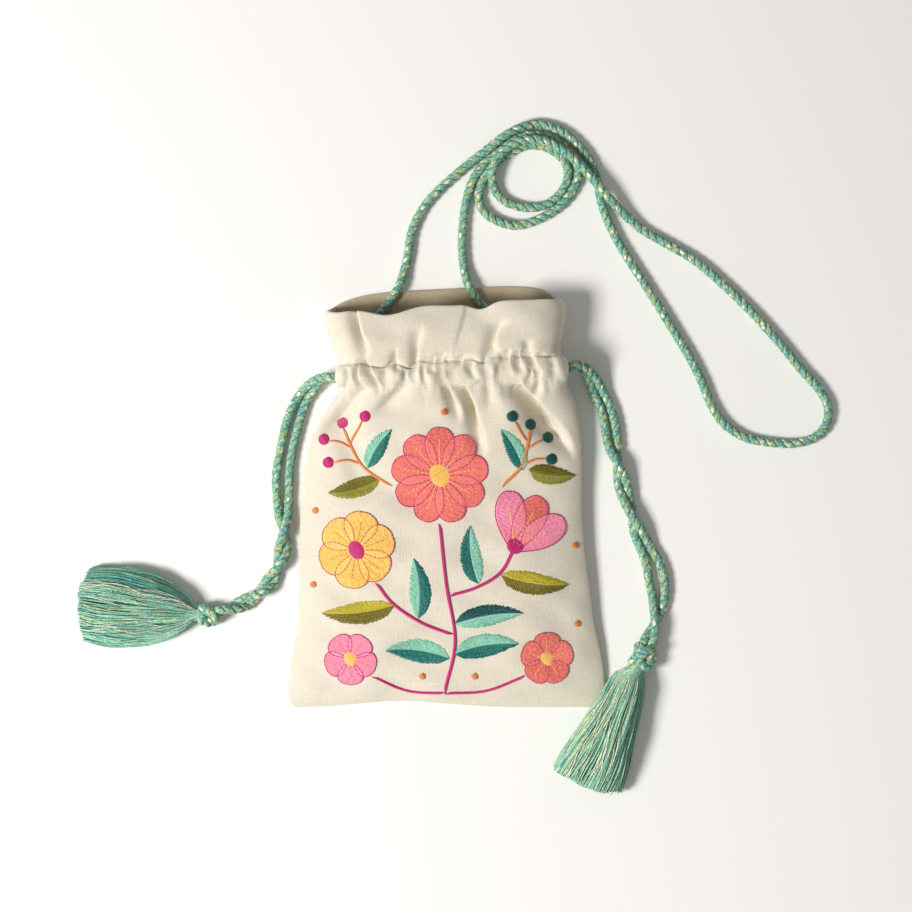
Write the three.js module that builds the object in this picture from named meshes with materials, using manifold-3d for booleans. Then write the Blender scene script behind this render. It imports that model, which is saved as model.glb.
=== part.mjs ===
// A small linen drawstring pouch lying on its back, with two drawcords that end in knots and
// tassels, and a long shoulder strap. Millimetres, +Z up, +Y towards the mouth, back on z = 0.
import * as THREE from "three";
import { mergeVertices } from "three/addons/utils/BufferGeometryUtils.js";
import Module from "manifold-3d";

const wasm = await Module();
wasm.setup();

// Driving dimensions
const WALL = 1.4;            // cloth of the panels
const SEAM_GAP = 0.3;        // front panel to back panel along the seams
const SEAM_EDGE = 1.2;       // height of each panel's edge at a flat seam
const BACK_FLAT = 1.6;       // how far the back is pressed flat on the surface
const FRONT_COLUMNS = 50;    // facets across the front
const BACK_COLUMNS = 20;     // facets across the back
const CORD = 3.8;            // diameter of drawcords and strap
const CORD_SIDES = 8;
const DRAWCORD_STEP = 7.6;   // length of a facet along a drawcord
const STRAP_STEP = 9.5;      // length of a facet along the strap
const FLOOR_GAP = 0.14;      // a laid cord over the surface
const CASING_MID = 57;       // casing centre line, up from the middle of the bag
const CASING_SKEW = 1.8;     // rise of that line from its middle to the right side
const CASING_HALF = 6.2;     // half height of the turned-in band
const TUNNEL_HALF = 5;       // half height of the tunnel inside it
const NECK_Z = 13;           // middle height of the neck
const NECK_DEPTH_LIMIT = 1.2; // deepest gather over the tunnel
const BAND_LIP = 7.0;        // band: radius of its lips about the neck's middle height
const BAND_WEB = 5.5;        // band: outer radius of its web
const BAND_INNER = 4.4;      // band: inner radius, the clear way into the bag
const TURN_RADIUS = 7.65;    // radius of a drawcord's turn at the far side of the neck
const TURN_INSET = 14;       // turn centre, in from the side of the neck
const BAND_INSET = 17;       // the same of the band's ends
const LANE = 2.15;           // each drawcord's offset from the casing centre line
const KNOT_RING = 3.3;       // knot: radius of a turn of the cord
const KNOT_TUBE = 2.2;       // knot: radius of the turned cord
const KNOT_PITCH = 3.0;      // knot: spacing of the turns
const LOCKS = 11;            // locks around a tassel
const LOCK_SIDES = 5;

// Sections from the bottom seam to the rim. y: height at the middle; left, right: outline; skew:
// rise to the right side; crown: top of the front; seam: height of the side seam; square, round:
// exponents of the cross-section; slot: opening in the side seam; rise: extra height of the back
const SECTION_COLUMNS = ["y", "left", "right", "skew", "crown", "seam", "square", "round", "slot", "rise"];
const SECTIONS = [
  [-97.0, -70.0, 71.0, 0.0, 3.2, 1.6, 6.0, 1.0, 0, 0],
  [-95.0, -71.8, 72.4, 0.0, 4.9, 1.6, 4.5, 1.0, 0, 0],
  [-90.5, -72.8, 72.8, 0.0, 7.3, 1.8, 3.4, 1.0, 0, 0],
  [-83.0, -72.5, 72.6, 0.2, 9.8, 2.3, 2.9, 1.0, 0, 0],
  [-72.0, -71.2, 71.0, 0.4, 12.4, 3.2, 2.7, 1.0, 0, 0],
  [-58.0, -68.4, 67.9, 0.6, 14.4, 4.2, 2.6, 1.0, 0, 0],
  [-40.0, -67.9, 65.6, 0.8, 15.8, 5.0, 2.6, 1.0, 0, 0],
  [-20.0, -67.6, 63.2, 1.0, 16.6, 5.8, 2.6, 1.0, 0, 0],
  [0.0, -66.6, 62.2, 1.1, 17.4, 6.6, 2.7, 1.0, 0, 0],
  [17.0, -64.6, 62.3, 1.2, 18.6, 7.6, 2.9, 1.1, 0, 0],
  [32.0, -59.9, 61.0, 1.2, 20.4, 9.0, 3.5, 1.25, 0, 0],
  [42.5, -53.8, 58.8, 1.3, 22.2, 10.8, 4.8, 1.5, 0, 0],
  [51.4, -49.2, 55.2, 1.4, 23.8, 12.4, 7.0, 1.9, 0, 0],
  [52.7, -50.0, 55.4, 1.5, 25.6, 12.8, 8.0, 2.0, 10.8, 0],
  [57.0, -50.8, 55.8, 1.8, 26.4, 13.0, 8.0, 2.0, 11.0, 0],
  [61.3, -50.2, 54.8, 2.0, 25.6, 12.9, 8.0, 2.0, 10.8, 0],
  [62.6, -48.6, 52.4, 2.2, 23.9, 12.7, 8.0, 2.0, 0, 0],
  [66.0, -50.2, 52.2, 2.3, 25.4, 12.6, 7.5, 2.0, 0, 0.8],
  [73.0, -53.0, 53.4, 2.5, 25.8, 12.3, 7.0, 2.0, 0, 3.0],
  [81.0, -54.8, 54.6, 2.7, 25.0, 11.8, 6.5, 2.0, 0, 5.8],
  [88.3, -55.7, 55.0, 2.8, 23.6, 11.4, 6.0, 2.0, 0, 7.7],
];

// Folds of the front: a valley from its upper end to its lower end
const FOLD_COLUMNS = ["x0", "y0", "x1", "y1", "width", "depth"];
const FRONT_FOLDS = [
  [-45.5, 96.0, -38.0, 44.0, 2.8, 3.0],
  [-33.5, 68.0, -30.5, 34.0, 2.2, 2.0],
  [-24.0, 68.0, -29.5, 22.0, 2.6, 2.4],
  [-14.0, 72.0, -12.5, 32.0, 2.4, 2.2],
  [-7.0, 67.0, -4.0, 24.0, 2.2, 1.9],
  [11.0, 96.0, 0.5, 38.0, 3.0, 2.2],
  [8.5, 65.0, 17.5, 10.0, 3.2, 3.0],
  [18.0, 72.0, 19.5, 34.0, 2.4, 2.2],
  [25.5, 67.0, 24.0, 34.0, 2.2, 1.8],
  [31.0, 66.0, 61.0, 20.0, 3.8, 3.4],
  [43.0, 78.0, 40.5, 34.0, 2.6, 2.3],
  [-51.5, 42.0, -36.0, -2.0, 4.0, 2.4],
];
const BACK_FOLDS = 9;        // evenly gathered where the back lies on the surface
const BACK_FOLD_PITCH = 9.6;
const BACK_FOLD_WIDTH = 2.6;
const BACK_FOLD_DEPTH = 1.4;

// Dips along the front rim, and the slight arch of the bottom seam
const DIP_COLUMNS = ["at", "width", "depth"];
const RIM_DIPS = [
  [-26.5, 11.0, 4.0],
  [15.9, 5.5, 2.9],
  [-50.0, 5.0, 1.3],
  [3.0, 10.0, 0.8],
];
const RIM_DIP_FROM = 66;
const RIM_DIP_TO = 88.3;
const HEM_ARCH = { at: -25, width: 32, rise: 3.2, fade: 20 };

// Each drawcord outside the bag, as a pair of strands. x, y, z: midway between the two; apart: their
// spacing; turn: degrees that the pair has turned about its own line; z is raised where it has to be
const PAIR_COLUMNS = ["x", "y", "z", "apart", "turn"];
const PAIR_LEFT = [
  [-54.5, 55.0, 12.6, 4.2, 90],
  [-59.0, 53.4, 8.8, 4.2, 112],
  [-63.2, 49.4, 4.2, 4.2, 152],
  [-67.0, 44.2, 2.0, 4.6, 180],
  [-69.7, 37.7, 1.95, 5.5, 180],
  [-72.0, 29.9, 1.95, 5.7, 180],
  [-73.8, 21.6, 1.95, 5.5, 180],
  [-75.2, 13.6, 1.95, 5.8, 180],
  [-75.5, 6.0, 1.95, 6.2, 180],
  [-75.4, -1.8, 1.95, 5.4, 180],
  [-75.2, -9.4, 2.6, 4.3, 200],
  [-75.0, -16.6, 3.9, 4.1, 270],
  [-75.4, -23.9, 2.8, 4.1, 345],
  [-77.3, -31.3, 3.9, 4.1, 430],
  [-80.7, -38.0, 2.8, 4.1, 515],
  [-85.3, -43.5, 3.9, 4.1, 600],
  [-91.3, -47.8, 3.2, 4.1, 690],
  [-97.6, -50.6, 4.4, 4.1, 775],
  [-103.5, -52.4, 5.6, 4.1, 830],
];
const PAIR_RIGHT = [
  [59.2, 60.6, 12.6, 4.2, 90],
  [63.6, 58.8, 8.8, 4.2, 72],
  [67.2, 54.0, 4.6, 4.1, 36],
  [70.6, 47.4, 2.2, 4.2, 8],
  [73.8, 40.0, 1.95, 4.6, 0],
  [75.7, 31.7, 1.95, 5.0, 0],
  [77.0, 23.0, 2.4, 4.4, -24],
  [78.9, 15.2, 3.9, 4.1, -90],
  [81.2, 6.0, 2.8, 4.1, -160],
  [84.4, -5.1, 3.7, 4.1, -240],
  [88.1, -15.6, 2.9, 4.1, -325],
  [92.2, -24.4, 2.0, 4.6, -360],
  [95.2, -30.8, 1.95, 6.2, -360],
  [96.8, -37.3, 1.95, 7.2, -360],
  [97.8, -44.6, 1.95, 6.0, -360],
  [97.4, -52.0, 2.6, 4.3, -388],
  [95.9, -58.9, 3.9, 4.1, -455],
  [92.8, -67.0, 5.6, 4.1, -530],
];

// The strap from its sewn left end to its sewn right end, chosen point by point: x, y, z
const STRAP = [
  [-49.7, 71.0, 12.8], [-46.4, 72.2, 9.8], [-41.0, 75.0, 6.4], [-34.0, 81.0, 4.4], [-27.0, 89.0, 4.1],
  [-22.0, 97.0, 4.1], [-19.3, 105.0, 2.4], [-17.6, 112.7, 1.95], [-16.8, 119.5, 1.95],
  [-14.4, 126.6, 1.95], [-10.3, 133.9, 1.95], [-3.0, 142.1, 1.95], [5.3, 149.5, 1.95],
  [13.1, 155.9, 3.0], [20.0, 161.0, 4.7], [26.9, 166.3, 5.2], [33.8, 170.0, 4.2], [41.2, 172.0, 2.4],
  [48.1, 170.9, 1.95], [54.5, 167.8, 1.95], [60.2, 162.9, 1.95], [65.0, 157.0, 1.95],
  [68.1, 151.0, 1.95], [69.9, 144.4, 1.95], [71.3, 136.6, 1.95], [74.1, 128.3, 1.95],
  [78.9, 118.2, 1.95], [84.4, 109.0, 1.95], [91.3, 98.4, 1.95], [98.2, 87.4, 1.95],
  [105.6, 75.4, 1.95], [112.4, 64.0, 1.95], [117.5, 53.8, 1.95], [121.9, 43.0, 1.95],
  [128.0, 33.8, 1.95], [137.4, 27.6, 1.95], [148.8, 25.2, 1.95], [160.6, 24.7, 1.95],
  [169.4, 27.2, 1.95], [175.0, 33.1, 1.95], [176.0, 41.6, 1.95], [171.6, 50.0, 1.95],
  [164.0, 58.4, 1.95], [153.4, 71.3, 1.95], [140.5, 85.6, 1.95], [126.7, 98.9, 1.95],
  [114.8, 109.0, 1.95], [101.9, 116.6, 1.95], [89.9, 123.6, 2.2], [81.2, 131.0, 3.6],
  [75.2, 137.3, 5.4], [70.6, 142.4, 6.3], [66.6, 147.2, 6.3], [62.0, 152.3, 6.3], [56.8, 157.0, 6.3],
  [50.8, 161.2, 6.2], [43.5, 164.2, 6.1], [36.1, 164.2, 6.1], [30.0, 161.9, 6.3], [25.4, 158.2, 6.3],
  [22.2, 153.6, 6.1], [20.9, 148.1, 4.9], [21.9, 142.6, 2.9], [25.5, 137.5, 1.95], [32.0, 134.3, 1.95],
  [39.3, 133.4, 1.95], [46.6, 135.2, 1.95], [52.2, 139.6, 1.95], [55.4, 145.2, 1.95],
  [56.0, 150.6, 1.95], [54.2, 155.2, 1.95], [50.2, 159.0, 1.95], [44.4, 161.7, 1.95],
  [38.0, 162.1, 1.95], [32.6, 160.6, 1.95], [27.8, 157.8, 1.95], [23.0, 154.0, 1.95],
  [18.8, 149.3, 1.95], [16.1, 144.0, 1.95], [14.9, 138.5, 1.95], [16.2, 133.4, 1.95],
  [19.8, 129.3, 1.95], [25.5, 126.5, 1.95], [32.4, 125.2, 1.95], [39.8, 126.9, 1.95],
  [46.6, 130.2, 1.95], [52.8, 134.6, 1.95], [57.4, 140.2, 1.95], [60.2, 145.8, 1.95],
  [60.9, 150.8, 1.95], [59.0, 156.2, 1.95], [54.4, 161.4, 1.95], [49.0, 165.1, 1.95],
  [43.0, 166.9, 1.95], [37.0, 166.9, 1.95], [31.4, 165.0, 1.95], [25.8, 161.4, 1.95],
  [20.0, 156.4, 1.95], [14.9, 150.6, 1.95], [11.4, 144.2, 1.95], [9.5, 138.0, 1.95],
  [8.0, 129.7, 1.95], [7.2, 117.3, 1.95], [8.0, 106.0, 2.3], [10.5, 97.0, 4.1], [16.5, 88.0, 4.2],
  [26.0, 80.6, 4.4], [38.0, 76.6, 5.6], [45.8, 75.4, 9.4], [49.9, 75.4, 13.0],
];

// Knots and tassels. A tassel's sections: along its length, half width, half height, lock radius
const KNOTS = {
  left: { x: -109.3, y: -54.0, z: 5.6, heading: 175 },
  right: { x: 90.4, y: -72.6, z: 5.6, heading: 247 },
};
const TASSEL_COLUMNS = ["along", "wide", "high", "lock"];
const TASSEL_START = 6.2;    // from the knot's middle
const TASSELS = {
  left: {
    bagSide: 0,
    lift: 0,
    rows: [
      [0, 3.4, 3.4, 1.6],
      [6, 9.8, 6.4, 3.0],
      [17, 16.0, 7.8, 4.0],
      [37, 18.3, 8.2, 4.6],
      [52.5, 14.6, 5.8, 3.0],
    ],
  },
  right: {
    bagSide: -1,
    lift: 4.6,
    rows: [
      [0, 3.4, 3.4, 1.6],
      [6, 7.0, 6.0, 2.6],
      [19, 11.8, 7.6, 3.6],
      [38, 15.4, 8.0, 4.2],
      [54.0, 16.4, 6.0, 3.2],
    ],
  },
};

const LINEN = new THREE.MeshStandardMaterial({ color: 0xe3d8c4, roughness: 0.9, metalness: 0 });
const LINEN_INNER = new THREE.MeshStandardMaterial({ color: 0xc9bda2, roughness: 0.9, metalness: 0 });
const CORD_GREEN = new THREE.MeshStandardMaterial({ color: 0x7fb8a0, roughness: 0.6, metalness: 0 });
const TASSEL_GREEN = new THREE.MeshStandardMaterial({ color: 0x69ab9b, roughness: 0.6, metalness: 0 });

const RAD = Math.PI / 180;
const named = (columns, row) => Object.fromEntries(columns.map((name, i) => [name, row[i]]));
const sectionRows = SECTIONS.map((row) => named(SECTION_COLUMNS, row));
const frontFolds = FRONT_FOLDS.map((row) => named(FOLD_COLUMNS, row));
const rimDips = RIM_DIPS.map((row) => named(DIP_COLUMNS, row));
const TOP_ROW = SECTIONS.length - 1;

const backFolds = [];
for (let k = 0; k < BACK_FOLDS; k += 1) {
  const x = (k - (BACK_FOLDS - 1) / 2) * BACK_FOLD_PITCH + 2;
  backFolds.push({
    x0: x,
    y0: 67,
    x1: x * 1.12,
    y1: 36,
    width: BACK_FOLD_WIDTH,
    depth: BACK_FOLD_DEPTH * (k % 2 ? 1 : 0.75),
  });
}

const clamp = (value, low, high) => Math.min(high, Math.max(low, value));
const smooth = (value) => {
  const f = clamp(value, 0, 1);
  return f * f * (3 - 2 * f);
};

function spline(a, b, c, d, f) {
  const slope0 = (c - a) / 2;
  const slope1 = (d - b) / 2;
  const f2 = f * f;
  const f3 = f2 * f;
  return (2 * f3 - 3 * f2 + 1) * b + (f3 - 2 * f2 + f) * slope0
    + (3 * f2 - 2 * f3) * c + (f3 - f2) * slope1;
}

function section(v) {
  const i = clamp(Math.floor(v), 0, TOP_ROW - 1);
  const pick = [i - 1, i, i + 1, i + 2].map((k) => sectionRows[clamp(k, 0, TOP_ROW)]);
  const out = {};
  for (const name of SECTION_COLUMNS) {
    out[name] = spline(pick[0][name], pick[1][name], pick[2][name], pick[3][name], v - i);
  }
  return out;
}

const hump = (x, at, width) => Math.exp(-(((x - at) / width) ** 2));

// The cloth's plain form, without gathers, at t across (-1 left, 1 right) and v up the sections
function plain(t, v, front) {
  const s = section(v);
  const shape = Math.max(0, 1 - Math.abs(t) ** s.square) ** (1 / s.round);
  const edge = SEAM_GAP / 2 + (SEAM_EDGE - SEAM_GAP / 2) * clamp(2 - s.round, 0, 1);
  const x = (s.left + s.right) / 2 + ((s.right - s.left) / 2) * t;
  let y = s.y + s.skew * t;
  const fade = smooth(1 - (s.y - SECTIONS[0][0]) / HEM_ARCH.fade);
  y += HEM_ARCH.rise * hump(x, HEM_ARCH.at, HEM_ARCH.width) * fade * (1 - t * t);
  if (front) {
    const share = smooth((s.y - RIM_DIP_FROM) / (RIM_DIP_TO - RIM_DIP_FROM));
    for (const dip of rimDips) y -= dip.depth * hump(x, dip.at, dip.width) * share;
    return new THREE.Vector3(x, y, s.seam + Math.max(shape * (s.crown - s.seam), edge));
  }
  y += s.rise * (1 - Math.abs(t) ** 5);
  const drop = Math.max(Math.min(1, BACK_FLAT * shape) * s.seam, edge);
  return new THREE.Vector3(x, y, Math.max(0, s.seam - drop));
}

function outward(u, v, front) {
  const e = 0.01;
  const at = (a, b) => plain(Math.sin((a * Math.PI) / 2), b, front);
  const across = at(Math.min(1, u + e), v).sub(at(Math.max(-1, u - e), v));
  const along = at(u, Math.min(TOP_ROW, v + e)).sub(at(u, Math.max(0, v - e)));
  const normal = across.cross(along).normalize();
  return front ? normal : normal.negate();
}

function gather(x, y, t, front) {
  let sum = 0;
  for (const fold of front ? frontFolds : backFolds) {
    const dx = fold.x1 - fold.x0;
    const dy = fold.y1 - fold.y0;
    const length = Math.hypot(dx, dy);
    const along = ((x - fold.x0) * dx + (y - fold.y0) * dy) / (length * length);
    const off = ((x - fold.x0) * dy - (y - fold.y0) * dx) / length;
    const fade = smooth(along / 0.16) * smooth((1 - along) / 0.45);
    sum += fold.depth * fade * hump(off, 0, fold.width);
  }
  const fromCasing = Math.abs(y - CASING_MID - CASING_SKEW * t);
  const limit = NECK_DEPTH_LIMIT + 3 * smooth((fromCasing - 6.5) / 6);
  return Math.min(sum, limit);
}

function panelPoint(u, v, front, depth) {
  const s = section(v);
  const room = front ? s.crown - s.seam : s.seam * BACK_FLAT;
  const reach = s.slot > 0.5 ? (1 - (s.slot / 2 / room) ** s.round) ** (1 / s.square) : 1;
  const t = (0.4 * u + 0.6 * Math.sin((u * Math.PI) / 2)) * reach;
  const normal = outward((2 / Math.PI) * Math.asin(clamp(t, -1, 1)), v, front);
  const point = plain(t, v, front);
  const inward = gather(point.x, point.y, t, front) + depth;
  point.addScaledVector(normal, -inward);
  if (front) point.z = Math.max(point.z, s.seam + SEAM_GAP / 2);
  else point.z = clamp(point.z, 0, s.seam - SEAM_GAP / 2);
  return point;
}

function fromTriangles(points, faces) {
  let volume = 0;
  for (const [a, b, c] of faces) {
    volume += points[a].clone().cross(points[b]).dot(points[c]);
  }
  const index = [];
  for (const [a, b, c] of faces) index.push(...(volume > 0 ? [a, b, c] : [a, c, b]));
  const geometry = new THREE.BufferGeometry();
  const flat = points.flatMap((p) => [p.x, p.y, p.z]);
  geometry.setAttribute("position", new THREE.Float32BufferAttribute(flat, 3));
  geometry.setIndex(index);
  return geometry;
}

// A cloth solid between an outer and an inner grid of points
function sheet(columns, rows, pointAt) {
  const points = [];
  const faces = [];
  const id = (i, j, layer) => (layer * (rows + 1) + j) * (columns + 1) + i;
  const quad = (a, b, c, d) => faces.push([a, b, c], [a, c, d]);
  for (const depth of [0, WALL]) {
    for (let j = 0; j <= rows; j += 1) {
      for (let i = 0; i <= columns; i += 1) points.push(pointAt((2 * i) / columns - 1, j, depth));
    }
  }
  for (let j = 0; j < rows; j += 1) {
    for (let i = 0; i < columns; i += 1) {
      quad(id(i, j, 0), id(i + 1, j, 0), id(i + 1, j + 1, 0), id(i, j + 1, 0));
      quad(id(i, j, 1), id(i, j + 1, 1), id(i + 1, j + 1, 1), id(i + 1, j, 1));
    }
    quad(id(0, j, 0), id(0, j + 1, 0), id(0, j + 1, 1), id(0, j, 1));
    quad(id(columns, j, 0), id(columns, j, 1), id(columns, j + 1, 1), id(columns, j + 1, 0));
  }
  for (let i = 0; i < columns; i += 1) {
    quad(id(i, 0, 0), id(i, 0, 1), id(i + 1, 0, 1), id(i + 1, 0, 0));
    quad(id(i, rows, 0), id(i + 1, rows, 0), id(i + 1, rows, 1), id(i, rows, 1));
  }
  return fromTriangles(points, faces);
}

// Rings of equal length joined into a closed tube; closed rings of rings if loop is set
function loft(rings, loop) {
  const points = rings.flat();
  const n = rings[0].length;
  const faces = [];
  const last = loop ? rings.length : rings.length - 1;
  for (let j = 0; j < last; j += 1) {
    const k = (j + 1) % rings.length;
    for (let i = 0; i < n; i += 1) {
      const m = (i + 1) % n;
      faces.push([j * n + i, j * n + m, k * n + m], [j * n + i, k * n + m, k * n + i]);
    }
  }
  if (!loop) {
    const end = (rings.length - 1) * n;
    for (let i = 1; i < n - 1; i += 1) {
      faces.push([0, i + 1, i], [end, end + i, end + i + 1]);
    }
  }
  return fromTriangles(points, faces);
}

// The neck's inner loop: straight front and back runs joined by half circles of the given radius
const neckRow = sectionRows.find((row) => row.y === CASING_MID);
const neckTilt = (x) => {
  const mid = (neckRow.left + neckRow.right) / 2;
  return CASING_MID + (CASING_SKEW * (x - mid)) / ((neckRow.right - neckRow.left) / 2);
};

function neckLoop(radius, lift, straight, arc) {
  const left = neckRow.left + BAND_INSET;
  const right = neckRow.right - BAND_INSET;
  const loop = [];
  const add = (x, z) => loop.push(new THREE.Vector3(x, neckTilt(x) + lift, z));
  for (let i = 0; i < straight; i += 1) {
    add(left + ((right - left) * i) / straight, NECK_Z + radius);
  }
  for (let i = 0; i < arc; i += 1) {
    const a = (90 - (180 * i) / arc) * RAD;
    add(right + radius * Math.cos(a), NECK_Z + radius * Math.sin(a));
  }
  for (let i = 0; i < straight; i += 1) {
    add(right - ((right - left) * i) / straight, NECK_Z - radius);
  }
  for (let i = 0; i < arc; i += 1) {
    const a = (270 - (180 * i) / arc) * RAD;
    add(left + radius * Math.cos(a), NECK_Z + radius * Math.sin(a));
  }
  return loop;
}

function casingBand() {
  const outline = [
    [-CASING_HALF, BAND_LIP],
    [-TUNNEL_HALF, BAND_LIP],
    [-TUNNEL_HALF, BAND_WEB],
    [TUNNEL_HALF, BAND_WEB],
    [TUNNEL_HALF, BAND_LIP],
    [CASING_HALF, BAND_LIP],
    [CASING_HALF, BAND_INNER],
    [-CASING_HALF, BAND_INNER],
  ];
  const loops = outline.map(([lift, radius]) => neckLoop(radius, lift, 12, 8));
  const rings = loops[0].map((_, k) => loops.map((loop) => loop[k]));
  return loft(rings, true);
}

function cordAlong(points, step) {
  const curve = new THREE.CatmullRomCurve3(points, false, "centripetal");
  curve.arcLengthDivisions = 2000;
  const round = new THREE.Shape();
  for (let k = 0; k < CORD_SIDES; k += 1) {
    const a = ((k + 0.5) * 2 * Math.PI) / CORD_SIDES;
    const x = (CORD / 2) * Math.cos(a);
    const y = (CORD / 2) * Math.sin(a);
    if (k === 0) round.moveTo(x, y);
    else round.lineTo(x, y);
  }
  round.closePath();
  const steps = Math.round(curve.getLength() / step);
  const geometry = new THREE.ExtrudeGeometry(round, { steps, extrudePath: curve, curveSegments: 1 });
  return geometry;
}

// Both strands of a pair, from the bag to the knot
function strands(rows) {
  const pair = rows.map((row) => named(PAIR_COLUMNS, row));
  const first = [];
  const second = [];
  pair.forEach((row, i) => {
    const before = pair[Math.max(0, i - 1)];
    const after = pair[Math.min(pair.length - 1, i + 1)];
    const heading = Math.atan2(after.y - before.y, after.x - before.x);
    const side = (row.apart / 2) * Math.cos(row.turn * RAD);
    const up = (row.apart / 2) * Math.sin(row.turn * RAD);
    const dx = -Math.sin(heading) * side;
    const dy = Math.cos(heading) * side;
    const z = Math.max(row.z, CORD / 2 + FLOOR_GAP + Math.abs(up));
    first.push(new THREE.Vector3(row.x + dx, row.y + dy, z + up));
    second.push(new THREE.Vector3(row.x - dx, row.y - dy, z - up));
  });
  return [first, second];
}

// One drawcord: in from the knot, round the neck, and out to the knot again
function drawcord(rows, leftSide) {
  const [upper, lower] = strands(rows);
  const lift = leftSide ? -LANE : LANE;
  const left = neckRow.left + TURN_INSET;
  const right = neckRow.right - TURN_INSET;
  const near = leftSide ? left : right;
  const far = leftSide ? right : left;
  const toFar = leftSide ? 1 : -1;
  const hidden = [];
  const add = (x, z, share = 1) => {
    hidden.push(new THREE.Vector3(x, neckTilt(x) + lift * share, z));
  };
  add(near - toFar * 14, NECK_Z + 2.1, 0.3);
  add(near - toFar * 9, NECK_Z + 2.6, 0.9);
  for (let i = 0; i <= 7; i += 1) add(near + ((far - near) * i) / 7, NECK_Z + TURN_RADIUS);
  for (let i = 1; i < 8; i += 1) {
    const a = (90 - (180 * i) / 8) * RAD;
    add(far + toFar * TURN_RADIUS * Math.cos(a), NECK_Z + TURN_RADIUS * Math.sin(a));
  }
  for (let i = 0; i <= 7; i += 1) add(far + ((near - far) * i) / 7, NECK_Z - TURN_RADIUS);
  add(near - toFar * 9, NECK_Z - 2.6, 0.9);
  add(near - toFar * 14, NECK_Z - 2.1, 0.3);
  return cordAlong([...upper.reverse(), ...hidden, ...lower], DRAWCORD_STEP);
}

function toManifold(geometry) {
  const bare = geometry.clone();
  bare.deleteAttribute("normal");
  bare.deleteAttribute("uv");
  const merged = mergeVertices(bare, 1e-4);
  const mesh = new wasm.Mesh({
    numProp: 3,
    vertProperties: Float32Array.from(merged.attributes.position.array),
    triVerts: Uint32Array.from(merged.index.array),
  });
  return new wasm.Manifold(mesh);
}

function fused(geometries) {
  const solid = wasm.Manifold.union(geometries.map(toManifold)).simplify(0.06);
  const mesh = solid.getMesh();
  const geometry = new THREE.BufferGeometry();
  const position = new THREE.BufferAttribute(Float32Array.from(mesh.vertProperties), 3);
  geometry.setAttribute("position", position);
  geometry.setIndex(new THREE.BufferAttribute(Uint32Array.from(mesh.triVerts), 1));
  return geometry;
}

// A knot: three tilted turns of cord about a core, along the heading of its cord
function knot(place) {
  const pieces = [new THREE.SphereGeometry(KNOT_RING + 0.4, 7, 5)];
  for (let k = -1; k <= 1; k += 1) {
    const ring = new THREE.TorusGeometry(KNOT_RING, KNOT_TUBE, 5, 8);
    ring.rotateY(90 * RAD);
    ring.rotateZ((k === 0 ? -24 : 14) * RAD);
    ring.translate(k * KNOT_PITCH, 0, 0);
    pieces.push(ring);
  }
  return fused(pieces).rotateZ(place.heading * RAD).translate(place.x, place.y, place.z);
}

// A tassel: a ring of tapering locks fused to a core that runs out of its head
function tassel(place, form) {
  const rows = form.rows.map((row) => named(TASSEL_COLUMNS, row));
  const headZ = place.z;
  const middle = (row, j) => Math.max(row.high + 0.05, j === 0 ? headZ : 0);
  const core = rows.map((row, j) => {
    const ring = [];
    for (let k = 0; k < 10; k += 1) {
      const a = (k * 36) * RAD;
      const y = (row.wide - 0.7 * row.lock) * Math.cos(a);
      const raise = form.lift * smooth((y * form.bagSide) / 12 - 0.1) * smooth(j / 2);
      ring.push(new THREE.Vector3(row.along, y, middle(row, j) + raise
        + (row.high - 0.7 * row.lock) * Math.sin(a)));
    }
    return ring;
  });
  const pieces = [loft(core, false)];
  for (let n = 0; n < LOCKS; n += 1) {
    const a = ((n + 0.5) * 2 * Math.PI) / LOCKS;
    const long = 1 - 0.05 * (n % 3);
    const rings = rows.map((row, j) => {
      const y = (row.wide - row.lock) * Math.cos(a);
      const raise = form.lift * smooth((y * form.bagSide) / 12 - 0.1) * smooth(j / 2);
      const z = middle(row, j) + raise + (row.high - row.lock) * Math.sin(a);
      const ring = [];
      for (let k = 0; k < LOCK_SIDES; k += 1) {
        const b = ((k + 0.5) * 2 * Math.PI) / LOCK_SIDES;
        ring.push(new THREE.Vector3(row.along * long + (j === 0 ? 0.02 * n : 0),
          y + row.lock * Math.cos(b), z + row.lock * Math.sin(b)));
      }
      return ring;
    });
    pieces.push(loft(rings, false));
  }
  const geometry = fused(pieces).translate(TASSEL_START, 0, 0);
  return geometry.rotateZ(place.heading * RAD).translate(place.x, place.y, 0);
}

const bag = new THREE.Group();
bag.name = "phone_pouch";

function addPiece(name, geometry, material) {
  const mesh = new THREE.Mesh(geometry, material);
  mesh.name = name;
  bag.add(mesh);
}

addPiece("front_panel", sheet(FRONT_COLUMNS, TOP_ROW, (u, v, d) => panelPoint(u, v, true, d)), LINEN);
addPiece("back_panel", sheet(BACK_COLUMNS, TOP_ROW, (u, v, d) => panelPoint(u, v, false, d)), LINEN);
addPiece("casing_band", casingBand(), LINEN_INNER);
addPiece("drawcord_left", drawcord(PAIR_LEFT, true), CORD_GREEN);
addPiece("drawcord_right", drawcord(PAIR_RIGHT, false), CORD_GREEN);
addPiece("knot_left", knot(KNOTS.left), CORD_GREEN);
addPiece("knot_right", knot(KNOTS.right), CORD_GREEN);
addPiece("tassel_left", tassel(KNOTS.left, TASSELS.left), TASSEL_GREEN);
addPiece("tassel_right", tassel(KNOTS.right, TASSELS.right), TASSEL_GREEN);
addPiece("shoulder_strap", cordAlong(STRAP.map((p) => new THREE.Vector3(...p)), STRAP_STEP), CORD_GREEN);

export default bag;
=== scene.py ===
# %% [markdown]
# # A linen pouch on a rope
# A small drawstring pouch lies on its back on a pale table. Two drawcords leave the gathered neck and
# end in knots and tassels, and a long rope strap is sewn into the side seams of the ruffle. The solids
# of the part come in first as a fixed frame. Each soft solid is then dressed with a piece that has the
# same form and the detail that the hand would feel: plies, threads, weave, puckers and stitches.

# %% Load the frame
import math

import bmesh
import bpy
import numpy as np
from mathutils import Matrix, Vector
from mathutils.bvhtree import BVHTree


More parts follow.
